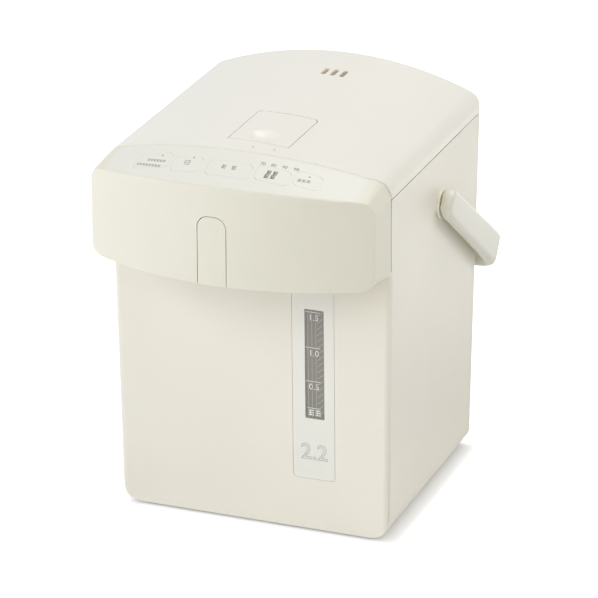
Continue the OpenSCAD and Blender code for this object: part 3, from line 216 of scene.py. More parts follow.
# %% A material
class Finish(Graph):
    """One procedural material, built on the Principled shader."""

    def __init__(self, name, colour, roughness, **constants):
        self.material = bpy.data.materials.new(name)
        self.material.use_nodes = True
        super().__init__(self.material.node_tree)
        self.shader = self.tree.nodes["Principled BSDF"]
        self.shader.inputs["Base Color"].default_value = (*colour[:3], 1)
        self.shader.inputs["Roughness"].default_value = roughness
        for key, value in constants.items():
            self.shader.inputs[key.replace("_", " ")].default_value = value
        self.material.diffuse_color = (*colour[:3], 1)
        self.places = self.node("ShaderNodeTexCoord", {}, output="Object")

    def noise(self, scale, detail=2.0, rough=0.5, places=None):
        return self.node("ShaderNodeTexNoise", {}, output=0, Vector=places or self.places,
                         Scale=scale, Detail=detail, Roughness=rough)

    def feed(self, name, signal):
        self.tree.links.new(signal.socket, self.shader.inputs[name])

    def blend(self, mask, first, second):
        """A colour between two colours or colour signals."""
        made = self.tree.nodes.new("ShaderNodeMix")
        made.data_type = "RGBA"
        for index, value in ((0, mask), (6, first), (7, second)):
            if isinstance(value, Signal):
                self.tree.links.new(value.socket, made.inputs[index])
            else:
                made.inputs[index].default_value = (*value[:3], 1) if index else value
        return Signal(self, made.outputs[2])

    def bump(self, height, distance, strength=1.0):
        self.feed("Normal", self.node("ShaderNodeBump", {}, Strength=strength,
                                      Distance=distance, Height=height, output="Normal"))
        return self


# %% [markdown]
# A colour is easiest to write as a screen shows it, from 0 to 255 in red, green and blue. A shader
# counts light instead, where twice the number is twice the light. So each colour is made linear
# before it goes into a material.

# %% Colours as a screen shows them
def linear(r, g, b):
    """A screen colour from 0 to 255 as the linear numbers that a shader wants."""
    return tuple(((v / 255 + 0.055) / 1.055) ** 2.4 if v > 10.3 else v / 255 / 12.92 for v in (r, g, b))


def scaled(colour, factor):
    """A colour made paler or deeper, never brighter than white."""
    return tuple(min(1.0, c * factor) for c in colour)


print("a middle grey gives off", round(linear(128, 128, 128)[0], 3), "of the light of white")

# %% [markdown]
# The shells are moulded polypropylene. Such plastic is never one flat tone: the mould's spark-eroded
# skin gives a grain of about a quarter of a millimetre, the colour drifts a little over a hand's width,
# and the grain makes the gloss vary. The same recipe with other numbers serves each moulded shell.

# %% Moulded plastic
def moulded(name, colour, roughness, grain=0.00003, drift=0.03, **constants):
    made = Finish(name, colour, roughness, **constants)
    cloud = made.noise(14.0, 3.0)
    skin = made.noise(2600.0, 3.0, 0.6)
    pores = made.noise(900.0, 2.0)
    made.feed("Base Color", made.blend(cloud, scaled(colour, 1 - drift), scaled(colour, 1 + drift)))
    made.feed("Roughness", skin * 0.10 + pores * 0.06 + (roughness - 0.08))
    made.bump(skin + pores * 0.7, grain, 0.5)
    return made.material


CASE_COLOUR = linear(238, 233, 218)
# The head's cream is the case's cream made a little darker and yellower. That is painted shade, so the
# head reads darker and warmer than the case.
HEAD_PAINTED_SHADE = (0.95, 0.962, 0.93)
case_finish = moulded("moulded_cream", CASE_COLOUR, 0.42)
lid_finish = moulded("moulded_pale_cream", linear(241, 238, 226), 0.36)
handle_finish = moulded("moulded_handle", linear(227, 225, 210), 0.38)
head_painted_shade_finish = moulded("moulded_head", tuple(c * k for c, k in zip(CASE_COLOUR, HEAD_PAINTED_SHADE)), 0.42)
dark_finish = moulded("black_nylon", linear(38, 38, 40), 0.5, grain=0.00006, drift=0.12)
valve_finish = moulded("white_acetal", linear(226, 225, 220), 0.35)
print("moulded finishes:", len(bpy.data.materials))

# %% [markdown]
# The control film and the gauge panel are polyester sheets, printed on the back. They are smoother than
# the shells round them, with a very fine even tooth.

# %% Printed films
def film(name, colour, roughness):
    made = Finish(name, colour, roughness)
    tooth = made.noise(5200.0, 1.0)
    cloud = made.noise(30.0, 2.0)
    made.feed("Base Color", made.blend(cloud, scaled(colour, 0.985), colour))
    made.feed("Roughness", tooth * 0.08 + (roughness - 0.04))
    return made.bump(tooth, 0.000008, 0.5).material


film_finish = film("deck_film", linear(236, 234, 222), 0.45)
gauge_finish = film("gauge_film", linear(237, 235, 224), 0.4)
print("films:", film_finish.name, gauge_finish.name)

# %% [markdown]
# Inside are a stainless container, steel pins and screws, a cast heater plate and brass plug pins.
# Brushed steel has fine scratches that run one way. They could be modelled one by one, but a noise
# that a Mapping node stretches along one axis gives thousands of them at no cost.

# %% Metals
def brushed(name, colour, roughness, stretch=(60, 60, 2600)):
    made = Finish(name, colour, roughness, Metallic=1.0)
    lines = made.node("ShaderNodeMapping", {}, Vector=made.places, Scale=stretch)
    scratch = made.noise(1.0, 4.0, 0.7, places=lines)
    made.feed("Roughness", scratch * 0.22 + (roughness - 0.1))
    made.feed("Base Color", made.blend(scratch, scaled(colour, 0.86), colour))
    return made.bump(scratch, 0.00001, 0.4).material


steel_finish = brushed("brushed_stainless", linear(196, 197, 198), 0.3)
pin_finish = brushed("turned_steel", linear(188, 188, 190), 0.22, (1800, 1800, 1800))
heater_finish = brushed("cast_aluminium", linear(150, 151, 153), 0.5, (700, 700, 700))
brass_finish = brushed("plug_brass", linear(206, 176, 110), 0.25, (1200, 1200, 1200))
print("metals:", steel_finish.name, pin_finish.name, heater_finish.name, brass_finish.name)

# %% [markdown]
# Feet and drive are rubber, gaskets and hose are silicone, and the boards are glass laminate. They are
# nearly matt, and a soft dust lies on them. One recipe serves them all: a cloud varies the colour and
# a fine noise the gloss.

# %% Rubber, silicone, wire and boards
def soft(name, colour, roughness, **constants):
    made = Finish(name, colour, roughness, **constants)
    dust = made.noise(700.0, 3.0)
    cloud = made.noise(45.0, 2.0)
    made.feed("Base Color", made.blend(cloud, scaled(colour, 0.9), scaled(colour, 1.08)))
    made.feed("Roughness", dust * 0.16 + (roughness - 0.08))
    return made.bump(dust, 0.00004, 0.5).material


rubber_finish = soft("black_rubber", linear(34, 34, 35), 0.7)
silicone_finish = soft("white_silicone", linear(228, 226, 218), 0.48)
wire_finish = soft("wire_sleeve", linear(160, 44, 36), 0.45)
board_finish = soft("green_laminate", linear(42, 96, 62), 0.4)
vent_finish = soft("brown_vent", linear(160, 142, 116), 0.5)
print("matt finishes:", rubber_finish.name, silicone_finish.name, wire_finish.name, board_finish.name)

# %% [markdown]
# The gauge window is smoked acrylic over a glass tube. Real refraction would need a solid pane and
# many light paths. A see-through share, the shader's Alpha, shows what is behind the pane and keeps
# its reflections, which is all that a thin flat pane shows.

# %% Clear pieces
def clear(name, colour, roughness, alpha):
    made = Finish(name, colour, roughness, Alpha=alpha, IOR=1.49)
    haze = made.noise(60.0, 2.0)
    made.feed("Roughness", haze * 0.06 + (roughness - 0.03))
    return made.bump(haze, 0.00003, 0.2).material


window_finish = clear("smoked_acrylic", linear(166, 162, 151), 0.12, 0.62)
glass_finish = clear("tube_glass", linear(220, 226, 224), 0.06, 0.35)
print("clear finishes:", window_finish.name, glass_finish.name)

# %% [markdown]
# The marks on the film are silk-screened ink, a few hundredths of a millimetre thick. Under a lens the
# ink has a slightly uneven edge and thickness, which here is a fine noise in its colour.

# %% Inks
def ink(name, colour, spread=0.12):
    made = Finish(name, colour, 0.5)
    speck = made.noise(3800.0, 2.0)
    made.feed("Base Color", made.blend(speck, scaled(colour, 1 - spread), scaled(colour, 1 + spread)))
    made.feed("Roughness", speck * 0.1 + 0.45)
    return made.material


grey_ink = ink("grey_ink", linear(150, 151, 146))
dark_ink = ink("dark_grey_ink", linear(118, 119, 114))
white_ink = ink("white_ink", linear(236, 236, 231), 0.04)
pale_ink = ink("pale_grey_ink", linear(196, 196, 188), 0.05)
hatch_ink = ink("hatch_ink", linear(176, 172, 163), 0.06)
# The dark joint colour uses the ink recipe but is painted shadow: it fills the joints beside the head,
# where there is only shade.
joint_painted_shadow = ink("dark_joint", linear(92, 88, 70))
# A grey a little darker than the lid draws two short strokes on the lid.
lid_stroke_ink = ink("moulded_mark", linear(212, 210, 199), 0.03)
print("finishes in all:", len(bpy.data.materials))

# %% [markdown]
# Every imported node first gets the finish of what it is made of. Nodes whose shape is right stay as
# they are; the ones that show their facets are replaced further down.

# %% Give every node its finish
FINISH_OF_SLOT = {
    "case_plastic": case_finish, "lid_plastic": lid_finish, "panel_film": film_finish,
    "window": window_finish, "glass": glass_finish, "steel": steel_finish,
    "shaft_steel": pin_finish, "heater": heater_finish, "dark_plastic": dark_finish,
    "foot_rubber": rubber_finish, "silicone": silicone_finish, "vent_plastic": vent_finish,
    "board": board_finish, "wire": wire_finish, "brass": brass_finish,
}
SLOT_OF_NODE = {s["node"]: s["material_slot"] for s in frame["record"]["subparts"]}


def dress(obj, finish):
    obj.data.materials.clear()
    obj.data.materials.append(finish)


for name, node in nodes.items():
    dress(node, FINISH_OF_SLOT[SLOT_OF_NODE[name]])
for name in ("tip_valve", "spout_nozzle", "impeller", "latch_bolt", "top_ring", "lid_liner"):
    dress(nodes[name], valve_finish)
dress(nodes["handle"], handle_finish)
dress(nodes["gauge_panel"], gauge_finish)
print("dressed", len(nodes), "nodes")

# %% [markdown]
# The solids carry their curved walls as narrow flat strips. Light shows those strips, although they
# lie within a tenth of a millimetre of the real curve. A copy of such a node is merged, cut into
# narrower strips, and each of its points that lies on the outer skin is moved onto the true curve.
# So the copy keeps each slot, seat and hole of the solid, and its light runs as smoothly as on the
# real moulding. A bmesh, Blender's mesh for editing, is the tool for such work point by point.

# %% Copy a node
def body_of_node(name):
    """The body that a node belongs to."""
    return next(b for b, members in frame["record"]["behaviour"]["bodies"].items() if name in members)


def merged_copy(name):
    """The node's solid as a bmesh with shared points and whole flat faces."""
    work = bmesh.new()
    work.from_mesh(nodes[name].data)
    bmesh.ops.remove_doubles(work, verts=work.verts, dist=2e-6)
    bmesh.ops.dissolve_degenerate(work, edges=work.edges, dist=1e-6)
    bmesh.ops.dissolve_limit(work, angle_limit=math.radians(0.4), verts=work.verts, edges=work.edges)
    return work


def designer(point):
    """The designer's x, y and z of a place in the row frame, in millimetres."""
    return point.x * 1000, point.y * 1000 - SHIFT_Y, point.z * 1000


def move_each(work, rule):
    """Moves each point of the bmesh by a rule on its designer's x, y and z."""
    for vert in work.verts:
        vert.co = placed(*rule(*designer(vert.co)))


print("the lever of the lid belongs to the body", body_of_node("lid_lever"))

# %% [markdown]
# New points are needed where a strip should bend. Subdividing every face would add them everywhere, so
# flat cuts are made only where they serve: across the whole shell, and close beside a rim.

# %% Slice a copy beside a rim
def slice_along(work, axis, places, rim=lambda x: 0.0):
    """Cuts every face along a rim. Places are millimetres from the rim, along the axis.

    The rim is a curve over x. The mesh is sheared until the rim is straight, cut with flat planes,
    and sheared back, so that the cuts run beside the rim.
    """
    along = Vector([float(k == axis) for k in range(3)])
    move_each(work, lambda *spot: Vector(spot) - along * rim(spot[0]))
    for place in places:
        bmesh.ops.bisect_plane(work, geom=[*work.verts, *work.edges, *work.faces], dist=1e-6,
                               plane_co=placed(*(along * place)), plane_no=along)
    move_each(work, lambda *spot: Vector(spot) + along * rim(spot[0]))


ACROSS = [HALF * math.sin(math.radians(3 * i)) for i in range(-29, 30)]
print(len(ACROSS), "cuts across the pot, closest together at its sides")

# %% [markdown]
# The head's face is shown a little flatter than the solid has it, and its lower edge a little higher.
# Both are shears that fade out towards the lid seam and the upper part, so the pieces of the head stay
# flush with each other as long as each one is moved by the same rule.

# %% Restate the head's bow
LOW_ZONE = 200.0


def limited(value, low=0.0, high=1.0):
    return max(low, min(high, value))


def restate(x, y, z):
    """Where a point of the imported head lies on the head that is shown."""
    seam, old, new = lid_edge(x), solid_face(x), face_edge(x)
    share = limited((seam - y) / (seam - old), high=1.2)
    if z < LOW_ZONE:
        z += (FACE_LOW - SOLID_LOW) * min(1.0, (LOW_ZONE - z) / (LOW_ZONE - SOLID_LOW))
    return x, y + (new - old) * share, z


print("near its ends the face is", round(solid_face(HALF - 8) - face_edge(HALF - 8), 1), "mm further out")

# %% [markdown]
# Each outer skin is known as a formula: the deck between lid and brow, and the head's floor, which
# turns up at its ends. A point that a flat strip left a little beside its skin is moved onto it, and a
# point of an inner wall, which lies further off, is left where it is.

# %% Move points onto the true skin
NEAR = 0.2
HEAD_END_Y = -6.0


def onto(value, true_value):
    """The true value where a point is within a strip's error of it, and the old value elsewhere."""
    return true_value if abs(value - true_value) < NEAR else value


def deck_height(x, y):
    """Height of the control deck over a place."""
    t = (lid_edge(x) - y) / (lid_edge(x) - face_edge(x))
    return lid_height(x) * (1 - t) + brow_height(x) * t


def head_floor(x):
    """Height of the head's lower outline, which turns up at its ends."""
    return FACE_LOW - arch_height(x, HALF, 1e6, HEAD_ROUND_R)


print("at its ends the head's floor lies", round(head_floor(HALF) - head_floor(0), 1), "mm higher")

# %% [markdown]
# No moulded edge is perfectly sharp: two skins meet in a small arc, which catches a thin line of light.
# A Bevel modifier could round the edges, but it would round every slot and seat too. Here the points
# just under both skins are moved onto an arc, so only the outer rims become round.

# %% Round the rims
RIM = 1.3
RIM_CUTS = [RIM * k for k in (0.15, 0.32, 0.5, 0.7, 1.0)]
RIM_CUTS_DOWN = [-cut for cut in RIM_CUTS]
ON_SKIN = 0.01


def rounded(first, second, radius):
    """Depths under two skins that meet at a rim, moved onto an arc of that radius."""
    if max(first, second) >= radius:
        return first, second
    turn = math.pi / 4 * (1 - second / radius) if first < second else math.pi / 4 * (1 + first / radius)
    return radius * (1 - math.cos(turn)), radius * (1 - math.sin(turn))


def on_skin(first, second):
    """Whether a point at these depths lies on one of two skins, and under the other or on it."""
    return min(abs(first), abs(second)) < ON_SKIN and min(first, second) > -ON_SKIN


print("a rim turns over", RIM, "mm in", len(RIM_CUTS), "steps")

# %% [markdown]
# The head's outer skin is its face, its deck and its floor, with rims between them. The lid has its
# crown and its bowed front. One function for each says where a point of the copy belongs.

# %% The skins of the head and the lid
def fit_head(x, y, z):
    """The head's outer skin: face and deck on their curves, with the rims between them rounded."""
    y = onto(y, face_edge(x))
    if y < lid_edge(x) + 1:
        z = onto(z, deck_height(x, y))
    if y < HEAD_END_Y:
        z = onto(z, head_floor(x))
    deep, back = deck_height(x, y) - z, y - face_edge(x)
    if on_skin(deep, back):
        deep, back = rounded(deep, back, RIM)
        y = face_edge(x) + back
        return x, y, deck_height(x, y) - deep
    over = z - head_floor(x)
    if on_skin(over, back):
        over, back = rounded(over, back, RIM)
        return x, face_edge(x) + back, head_floor(x) + over
    return x, y, z


def fit_lid(x, y, z):
    """The lid's crown and bowed front, with the rim between them rounded."""
    y, z = onto(y, lid_edge(x)), onto(z, lid_height(x))
    deep, back = lid_height(x) - z, y - lid_edge(x)
    if on_skin(deep, back):
        deep, back = rounded(deep, back, RIM)
    return x, lid_edge(x) + back, lid_height(x) - deep


print("the crown's middle stays at", fit_lid(0, 50, LID_TOP)[2], "mm")

# %% [markdown]
# Smooth shading takes the light's direction from the averaged faces round each point. On a wide face
# with a cut-out that average is uneven. The curves are known, so the points on them get the curve's own
# direction instead, and only the rims and cut-outs keep the averaged one. The head's face and sides
# are shaded as if they looked slightly down, by the leans below, so they read darker than its deck.

# %% Directions of the true skins
FACE_LEAN, SIDE_LEAN, SIDE_TURN = 0.17, 0.2, 0.12
SIDE_BAND, CLOSE = 0.3, 0.005


def slope(curve, x):
    """Rise of a curve at x, over a fiftieth of a millimetre."""
    return (curve(x + 0.01) - curve(x - 0.01)) / 0.02


def lid_direction(x, y, z):
    if abs(z - lid_height(x)) < CLOSE and abs(x) < HALF - SIDE_BAND:
        return Vector((-slope(lid_height, x), 0, 1)).normalized()
    return None


def head_direction(x, y, z):
    if abs(x) > HALF - SIDE_BAND:
        return Vector((math.copysign(1, x), -SIDE_TURN, -SIDE_LEAN)).normalized()
    if abs(z - deck_height(x, y)) < CLOSE:
        rise = (deck_height(x, y + 0.01) - deck_height(x, y - 0.01)) / 0.02
        return Vector((-slope(lambda u: deck_height(u, y), x), -rise, 1)).normalized()
    if abs(y - face_edge(x)) < CLOSE:
        return Vector((slope(face_edge, x), -1, -FACE_LEAN)).normalized()
    return None


def steer(mesh, direction):
    """Gives the corners of the mesh the skin's direction where one is known."""
    known = {v.index: direction(*designer(v.co)) for v in mesh.vertices}
    aims = []
    for face in mesh.polygons:
        for corner in face.loop_indices:
            aim = known[mesh.loops[corner].vertex_index]
            aims.append(aim if aim is not None and aim.dot(face.normal) > 0.96 else (0, 0, 0))
    mesh.normals_split_custom_set(aims)


print("the crown leans", round(math.degrees(math.atan(-slope(lid_height, 60))), 1), "degrees at x = 60")

# %% [markdown]
# Walls that are plain need no steering: there a Weighted Normal modifier lets the wide faces rule the
# shading of the narrow ones beside them.

# %% Finish a copy as the stand-in of its node
def mark_edges(mesh, degrees=28.0):
    """Smooth shading that stops at edges sharper than that angle."""
    mesh.polygons.foreach_set("use_smooth", [True] * len(mesh.polygons))
    mesh.set_sharp_from_angle(angle=math.radians(degrees))


def show(name, mesh, finish, body):
    """Puts a mesh into the scene as a piece of a body."""
    obj = bpy.data.objects.new(name, mesh)
    bpy.context.scene.collection.objects.link(obj)
    mesh.materials.clear()
    mesh.materials.append(finish)
    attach(obj, body)
    return obj


def stand_in(name, work, finish, direction=None, degrees=28.0):
    """Makes the bmesh a piece that takes the node's place."""
    mesh = bpy.data.meshes.new(name + "_skin")
    work.to_mesh(mesh)
    work.free()
    mark_edges(mesh, degrees)
    obj = show(name + "_skin", mesh, finish, body_of_node(name))
    if direction:
        steer(mesh, direction)
    else:
        even = obj.modifiers.new("even shading", "WEIGHTED_NORMAL")
        even.keep_sharp, even.weight = True, 100
    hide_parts(name)
    print(obj.name, len(mesh.polygons), "faces")


# %% [markdown]
# The head overhangs the front. Its side walls end a little before the case, and the gap between them
# shows as a dark line. Their lower edge falls towards the case, from the turned-up ends of the face.

# %% The ends of the head's side walls
SIDE_SEAM, SIDE_WALL = 1.3, 6.0
FALL_START, FALL_END_Y, FALL_TOP, FALL_FADE = 7.0, -2.0, 214.0, 11.0


def case_front(z):
    """Depth of the leaning front wall."""
    return (SEAM_HEIGHT - z) * math.tan(FRONT_DRAFT)


def open_seam(x, y, z):
    """Draws the rear ends of the side walls back from the case."""
    return x, min(y, case_front(z) - SIDE_SEAM) if abs(x) > HALF - SIDE_WALL else y, z


def fall_back(x, y, z):
    """Lets the lower edge of the head's sides fall towards the case."""
    front = face_edge(x) + FALL_START
    share = limited((y - front) / (FALL_END_Y - front)) * limited((FALL_TOP - z) / FALL_FADE)
    return x, y, z - (head_floor(x) - FACE_LOW) * share


print("the front wall lies", round(case_front(0), 1), "mm further back at the table")

# %% [markdown]
# The head shell and the lid cover are the two shells that the eye meets first. Each could be drawn
# anew from its outlines, but its copy already has the spout's notch, the key holes and the lever's
# well in the right places. So the copies are sliced, fitted to their skins and shown.

# %% The head shell
head = merged_copy("head_shell")
move_each(head, open_seam)
move_each(head, restate)
slice_along(head, 0, ACROSS)
slice_along(head, 1, RIM_CUTS, face_edge)
slice_along(head, 2, RIM_CUTS_DOWN, brow_height)
slice_along(head, 2, RIM_CUTS, head_floor)
move_each(head, fit_head)
move_each(head, fall_back)
stand_in("head_shell", head, head_painted_shade_finish, head_direction)

# %% [markdown]
# The lid cover goes the same way, with cuts beside its bowed front and under its crown. Its finish is a
# little glossier and paler than the case's.

# %% The lid cover
lid = merged_copy("lid_cover")
slice_along(lid, 0, ACROSS)
slice_along(lid, 1, RIM_CUTS, lid_edge)
slice_along(lid, 2, RIM_CUTS_DOWN, lid_height)
move_each(lid, fit_lid)
stand_in("lid_cover", lid, lid_finish, lid_direction)

# %% [markdown]
# The gauge panel lies in a shallow seat of the case front, and the handle turns on two round bosses.
# The panel and its seat reach a little further down and left than in the solid, and the bosses are
# smaller. Case and panel are moved by one rule, so they still fit each other.

# %% The gauge panel's seat and the pivot bosses
PIVOT_Y, PIVOT_HEIGHT = 97.5, 206.3
BOSS_R, BOSS_SHOWN_R, BOSS_DEPTH, BOSS_BAND = 12.25, 9.7, 1.8, 0.5
PANEL_DROP, PANEL_SHIFT, PANEL_X, PANEL_LOW, PANEL_HIGH = 1.5, 0.9, 44.0, 39.4, 190.0
SEAT_HALF, WINDOW_HALF, SEAT_DEPTH, DROP_TOP, DROP_FADE = 15.2, 8.0, 9.0, 60.0, 16.0


def restate_case(x, y, z):
    """Draws the gauge panel and its seat down and left, and the pivot bosses in."""
    reach = math.hypot(y - PIVOT_Y, z - PIVOT_HEIGHT)
    if abs(x) > HALF - BOSS_DEPTH and abs(reach - BOSS_R) < BOSS_BAND:
        share = BOSS_SHOWN_R / BOSS_R
        return x, PIVOT_Y + (y - PIVOT_Y) * share, PIVOT_HEIGHT + (z - PIVOT_HEIGHT) * share
    if abs(x - PANEL_X) > SEAT_HALF or y > SEAT_DEPTH or not PANEL_LOW < z < PANEL_HIGH:
        return x, y, z
    if abs(x - PANEL_X) > WINDOW_HALF:
        x -= PANEL_SHIFT
    return x, y, z - PANEL_DROP * limited((DROP_TOP - z) / DROP_FADE)


print("the panel's lower edge goes down by", PANEL_DROP, "mm")

# %% [markdown]
# The spout cover is a strip of the head's own face, snapped in from below, and the head bottom closes
# the head from underneath. They follow the head's restated bow. The lever is a piece of the lid's
# crown. Case and gauge panel are plain drafted walls: there only the shading needs care.

# %% Spout cover, lever, case and gauge panel
LEVER_HALF = 40.0

for name, finish, rule, fit, aim in (
        ("spout_cover", head_painted_shade_finish, restate, fit_head, head_direction),
        ("head_bottom", case_finish, restate, None, None),
        ("lid_lever", lid_finish, None, fit_lid, lid_direction),
        ("outer_case", case_finish, restate_case, None, None),
        ("gauge_panel", gauge_finish, restate_case, None, None)):
    work = merged_copy(name)
    if rule:
        move_each(work, rule)
    if fit:
        slice_along(work, 0, [x for x in ACROSS if abs(x) < LEVER_HALF])
        if fit is fit_head:
            slice_along(work, 2, RIM_CUTS, head_floor)
        move_each(work, fit)
    stand_in(name, work, finish, aim)

# %% [markdown]
# Five keys look through the control film, so closely that only a hair line shows round each. So each
# key's cap is widened towards its hole. A key is a rounded rectangle, which has a simple distance
# formula, and the points that lie on its outline are moved outwards along it.

# %% Widen a key
KEYS = {"reboil_key": (-51.5, 25.0), "lock_key": (-26.5, 20.0), "dispense_key": (3.0, 30.0),
        "temperature_key": (31.5, 22.0), "power_key": (53.5, 17.0)}
KEY_DEPTH, KEY_ROUND, KEY_GAP, HAIR_LINE, KEY_BAND = 13.0, 4.0, 0.25, 0.1, 0.06


def outline_distance(u, v, half_u, half_v, radius):
    """Signed distance of a place from a rounded rectangle, and the way outwards."""
    cu, cv = max(abs(u) - half_u + radius, 0.0), max(abs(v) - half_v + radius, 0.0)
    reach = math.hypot(cu, cv)
    if reach < 1e-9:
        return -radius, (0.0, 0.0)
    return reach - radius, (math.copysign(cu / reach, u), math.copysign(cv / reach, v))


def widen_key(name):
    """A rule that moves the points on a key's outline outwards."""
    middle, width = KEYS[name]
    home = [(a + b) / 2 for a, b in zip((middle, lid_edge(middle), lid_height(middle)),
                                        (middle, solid_face(middle), brow_height(middle)))]

    def rule(x, y, z):
        u = x - middle
        v = (y - home[1]) * math.cos(DECK_TILT) + (z - home[2]) * math.sin(DECK_TILT)
        off, (du, dv) = outline_distance(u, v, width / 2, KEY_DEPTH / 2, KEY_ROUND)
        grow = KEY_GAP - HAIR_LINE if abs(off) < KEY_BAND else 0.0
        return restate(x + du * grow, y + dv * grow * math.cos(DECK_TILT),
                       z + dv * grow * math.sin(DECK_TILT))
    return rule


print(len(KEYS), "keys, each with a line of", HAIR_LINE, "mm round it")

# %% [markdown]
# The film itself is glued into a shallow seat of the deck. Its four edges are drawn out until they
# nearly meet the seat's walls: the ends by x, the long edges by t, the share of the way down the deck.

# %% Widen the film
FILM_HALF, FILM_GROW, FILM_END_BAND = 85.7, 0.24, 0.1
FILM_TOP_EDGE, FILM_LOW_EDGE, FILM_SHARE_GROW, FILM_SHARE_BAND = 0.056, 0.944, 0.005, 0.001


def widen_film(x, y, z):
    """Draws the film's outline out to its seat."""
    x, y, z = restate(x, y, z)
    if abs(x) > FILM_HALF - FILM_END_BAND:
        x = math.copysign(FILM_HALF + FILM_GROW, x)
    t = (lid_edge(x) - y) / (lid_edge(x) - face_edge(x))
    deep = deck_height(x, y) - z
    if t < FILM_TOP_EDGE + FILM_SHARE_BAND:
        t = FILM_TOP_EDGE - FILM_SHARE_GROW
    if t > FILM_LOW_EDGE - FILM_SHARE_BAND:
        t = FILM_LOW_EDGE + FILM_SHARE_GROW
    y = lid_edge(x) * (1 - t) + face_edge(x) * t
    return x, y, deck_height(x, y) - deep


print("the film is now", 2 * (FILM_HALF + FILM_GROW), "mm wide")

# %% [markdown]
# Film and key caps lie in the deck, which is curved, so they are sliced across like the head and laid
# onto the deck again. All of them are shaded like the head, so the deck reads as one surface.

# %% Show the film and the keys
def fit_deck(x, y, z):
    return x, y, onto(z, deck_height(x, y))


for name, rule in (("control_panel", widen_film), *((key, widen_key(key)) for key in KEYS)):
    work = merged_copy(name)
    move_each(work, rule)
    slice_along(work, 0, [x for x in ACROSS if abs(x) < FILM_HALF])
    move_each(work, fit_deck)
    stand_in(name, work, film_finish, head_direction)

# %% [markdown]
# The carry handle is one strap bent twice: it starts in a round hub at each side and runs back to the
# crossbar, where it is widest. That is a path and a section, so Geometry Nodes make it: the path is a
# curve with filleted corners, the section a rounded rectangle, and Curve to Mesh joins them. The result
# lies flat, with Z across the strap. Two formulas then shape it: the width grows along the arm, and at
# the hub it shrinks like a circle. At the end it is turned down and moved to its pivot.

# %% The handle's sizes
HANDLE_DROP = math.radians(35)
ARM_MIDDLE, ARM_THICK, GRIP_THICK = 103.75, 8.5, 10.5
HUB_R, GRIP_HALF, HANDLE_LENGTH = 10.25, 11.9, 126.7
BEND_R, STRAP_EDGE_R = 12.0, 4.2
print("the handle hangs", round(math.degrees(HANDLE_DROP)), "degrees below level")

# %% [markdown]
# A Geometry Nodes tree has inputs that its user sees, such as a radius or a count. They are made first,
# each with a name and a kind of socket. At the end of a tree stand Realize Instances, which turns
# copies that only point at a shape into real faces, and Set Material.

# %% Start and end a shape
def new_shape(name, inputs):
    """An empty Geometry Nodes tree with named inputs, its graph and its input sockets."""
    tree = bpy.data.node_groups.new(name, "GeometryNodeTree")
    tree.interface.new_socket("Geometry", in_out="INPUT", socket_type="NodeSocketGeometry")
    tree.interface.new_socket("Geometry", in_out="OUTPUT", socket_type="NodeSocketGeometry")
    for label, kind in inputs:
        tree.interface.new_socket(label, in_out="INPUT", socket_type=kind)
    graph = Graph(tree)
    group = tree.nodes.new("NodeGroupInput")
    return graph, {socket.name: Signal(graph, socket) for socket in group.outputs if socket.name}


def end_shape(graph, geometry, finish):
    """Realizes the instances, sets the material and closes the tree."""
    real = graph.node("GeometryNodeRealizeInstances", {}, geometry)
    done = graph.node("GeometryNodeSetMaterial", {}, Geometry=real, Material=finish)
    out = graph.tree.nodes.new("NodeGroupOutput")
    graph.tree.links.new(done.socket, out.inputs[0])
    return graph.tree


# %% [markdown]
# The tree runs as a modifier on a carrier object. A modifier keeps the value of an input under the
# socket's identifier, not under its name, so the names are looked up first. The result is taken as a
# plain mesh, and the carrier is removed together with its modifier.

# %% Run a shape and keep its mesh
def baked(name, carrier, tree, values, body, finish):
    """Runs a tree on a carrier object and returns the plain mesh as a piece."""
    bpy.context.scene.collection.objects.link(carrier)
    run = carrier.modifiers.new(name, "NODES")
    run.node_group = tree
    inputs = [item for item in tree.interface.items_tree if item.in_out == "INPUT"]
    key_of = {item.name: item.identifier for item in inputs}
    for label, value in values.items():
        run[key_of[label]] = value
    bpy.context.view_layer.update()
    ready = carrier.evaluated_get(bpy.context.evaluated_depsgraph_get())
    mesh = bpy.data.meshes.new_from_object(ready)
    mesh.name = name
    bpy.data.objects.remove(carrier)
    print(name, "has", len(mesh.polygons), "faces")
    return show(name, mesh, finish, body)


# %% [markdown]
# The strap starts as a plain one: the path's corners are filleted to bends, points are spread evenly
# along it, and Curve to Mesh carries a rectangle with rounded corners along it.

# %% A plain bent strap
STRAP_SIZES = ("Hub radius", "Grip half width", "Thickness", "Grip thickness", "Edge radius",
               "Bend radius", "Length", "Arm middle")
strap_graph, given = new_shape("bent strap", [(label, "NodeSocketFloat") for label in STRAP_SIZES])
bent = strap_graph.node("GeometryNodeFilletCurve", {"mode": "POLY"}, Curve=given["Geometry"], Count=14,
                        Radius=given["Bend radius"], Limit_Radius=True)
fine = strap_graph.node("GeometryNodeResampleCurve", {"mode": "LENGTH"}, Curve=bent, Length=0.0008)
outline = strap_graph.node("GeometryNodeCurvePrimitiveQuadrilateral", {}, Width=given["Thickness"],
                           Height=given["Hub radius"] * 2)
section = strap_graph.node("GeometryNodeFilletCurve", {"mode": "POLY"}, Curve=outline, Count=9,
                           Radius=given["Edge radius"])
strap = strap_graph.node("GeometryNodeCurveToMesh", {}, Curve=fine, Profile_Curve=section, Fill_Caps=True)
print("inputs of the strap:", ", ".join(STRAP_SIZES))

# %% [markdown]
# At the hub the strap ends as a round disc with a soft rim. Seen from the side, its width there follows
# a circle, and near the tip it gets thinner along a quarter arc. In the strap's flat frame x runs
# across the pot, u from the pivot to the crossbar and w across the strap.

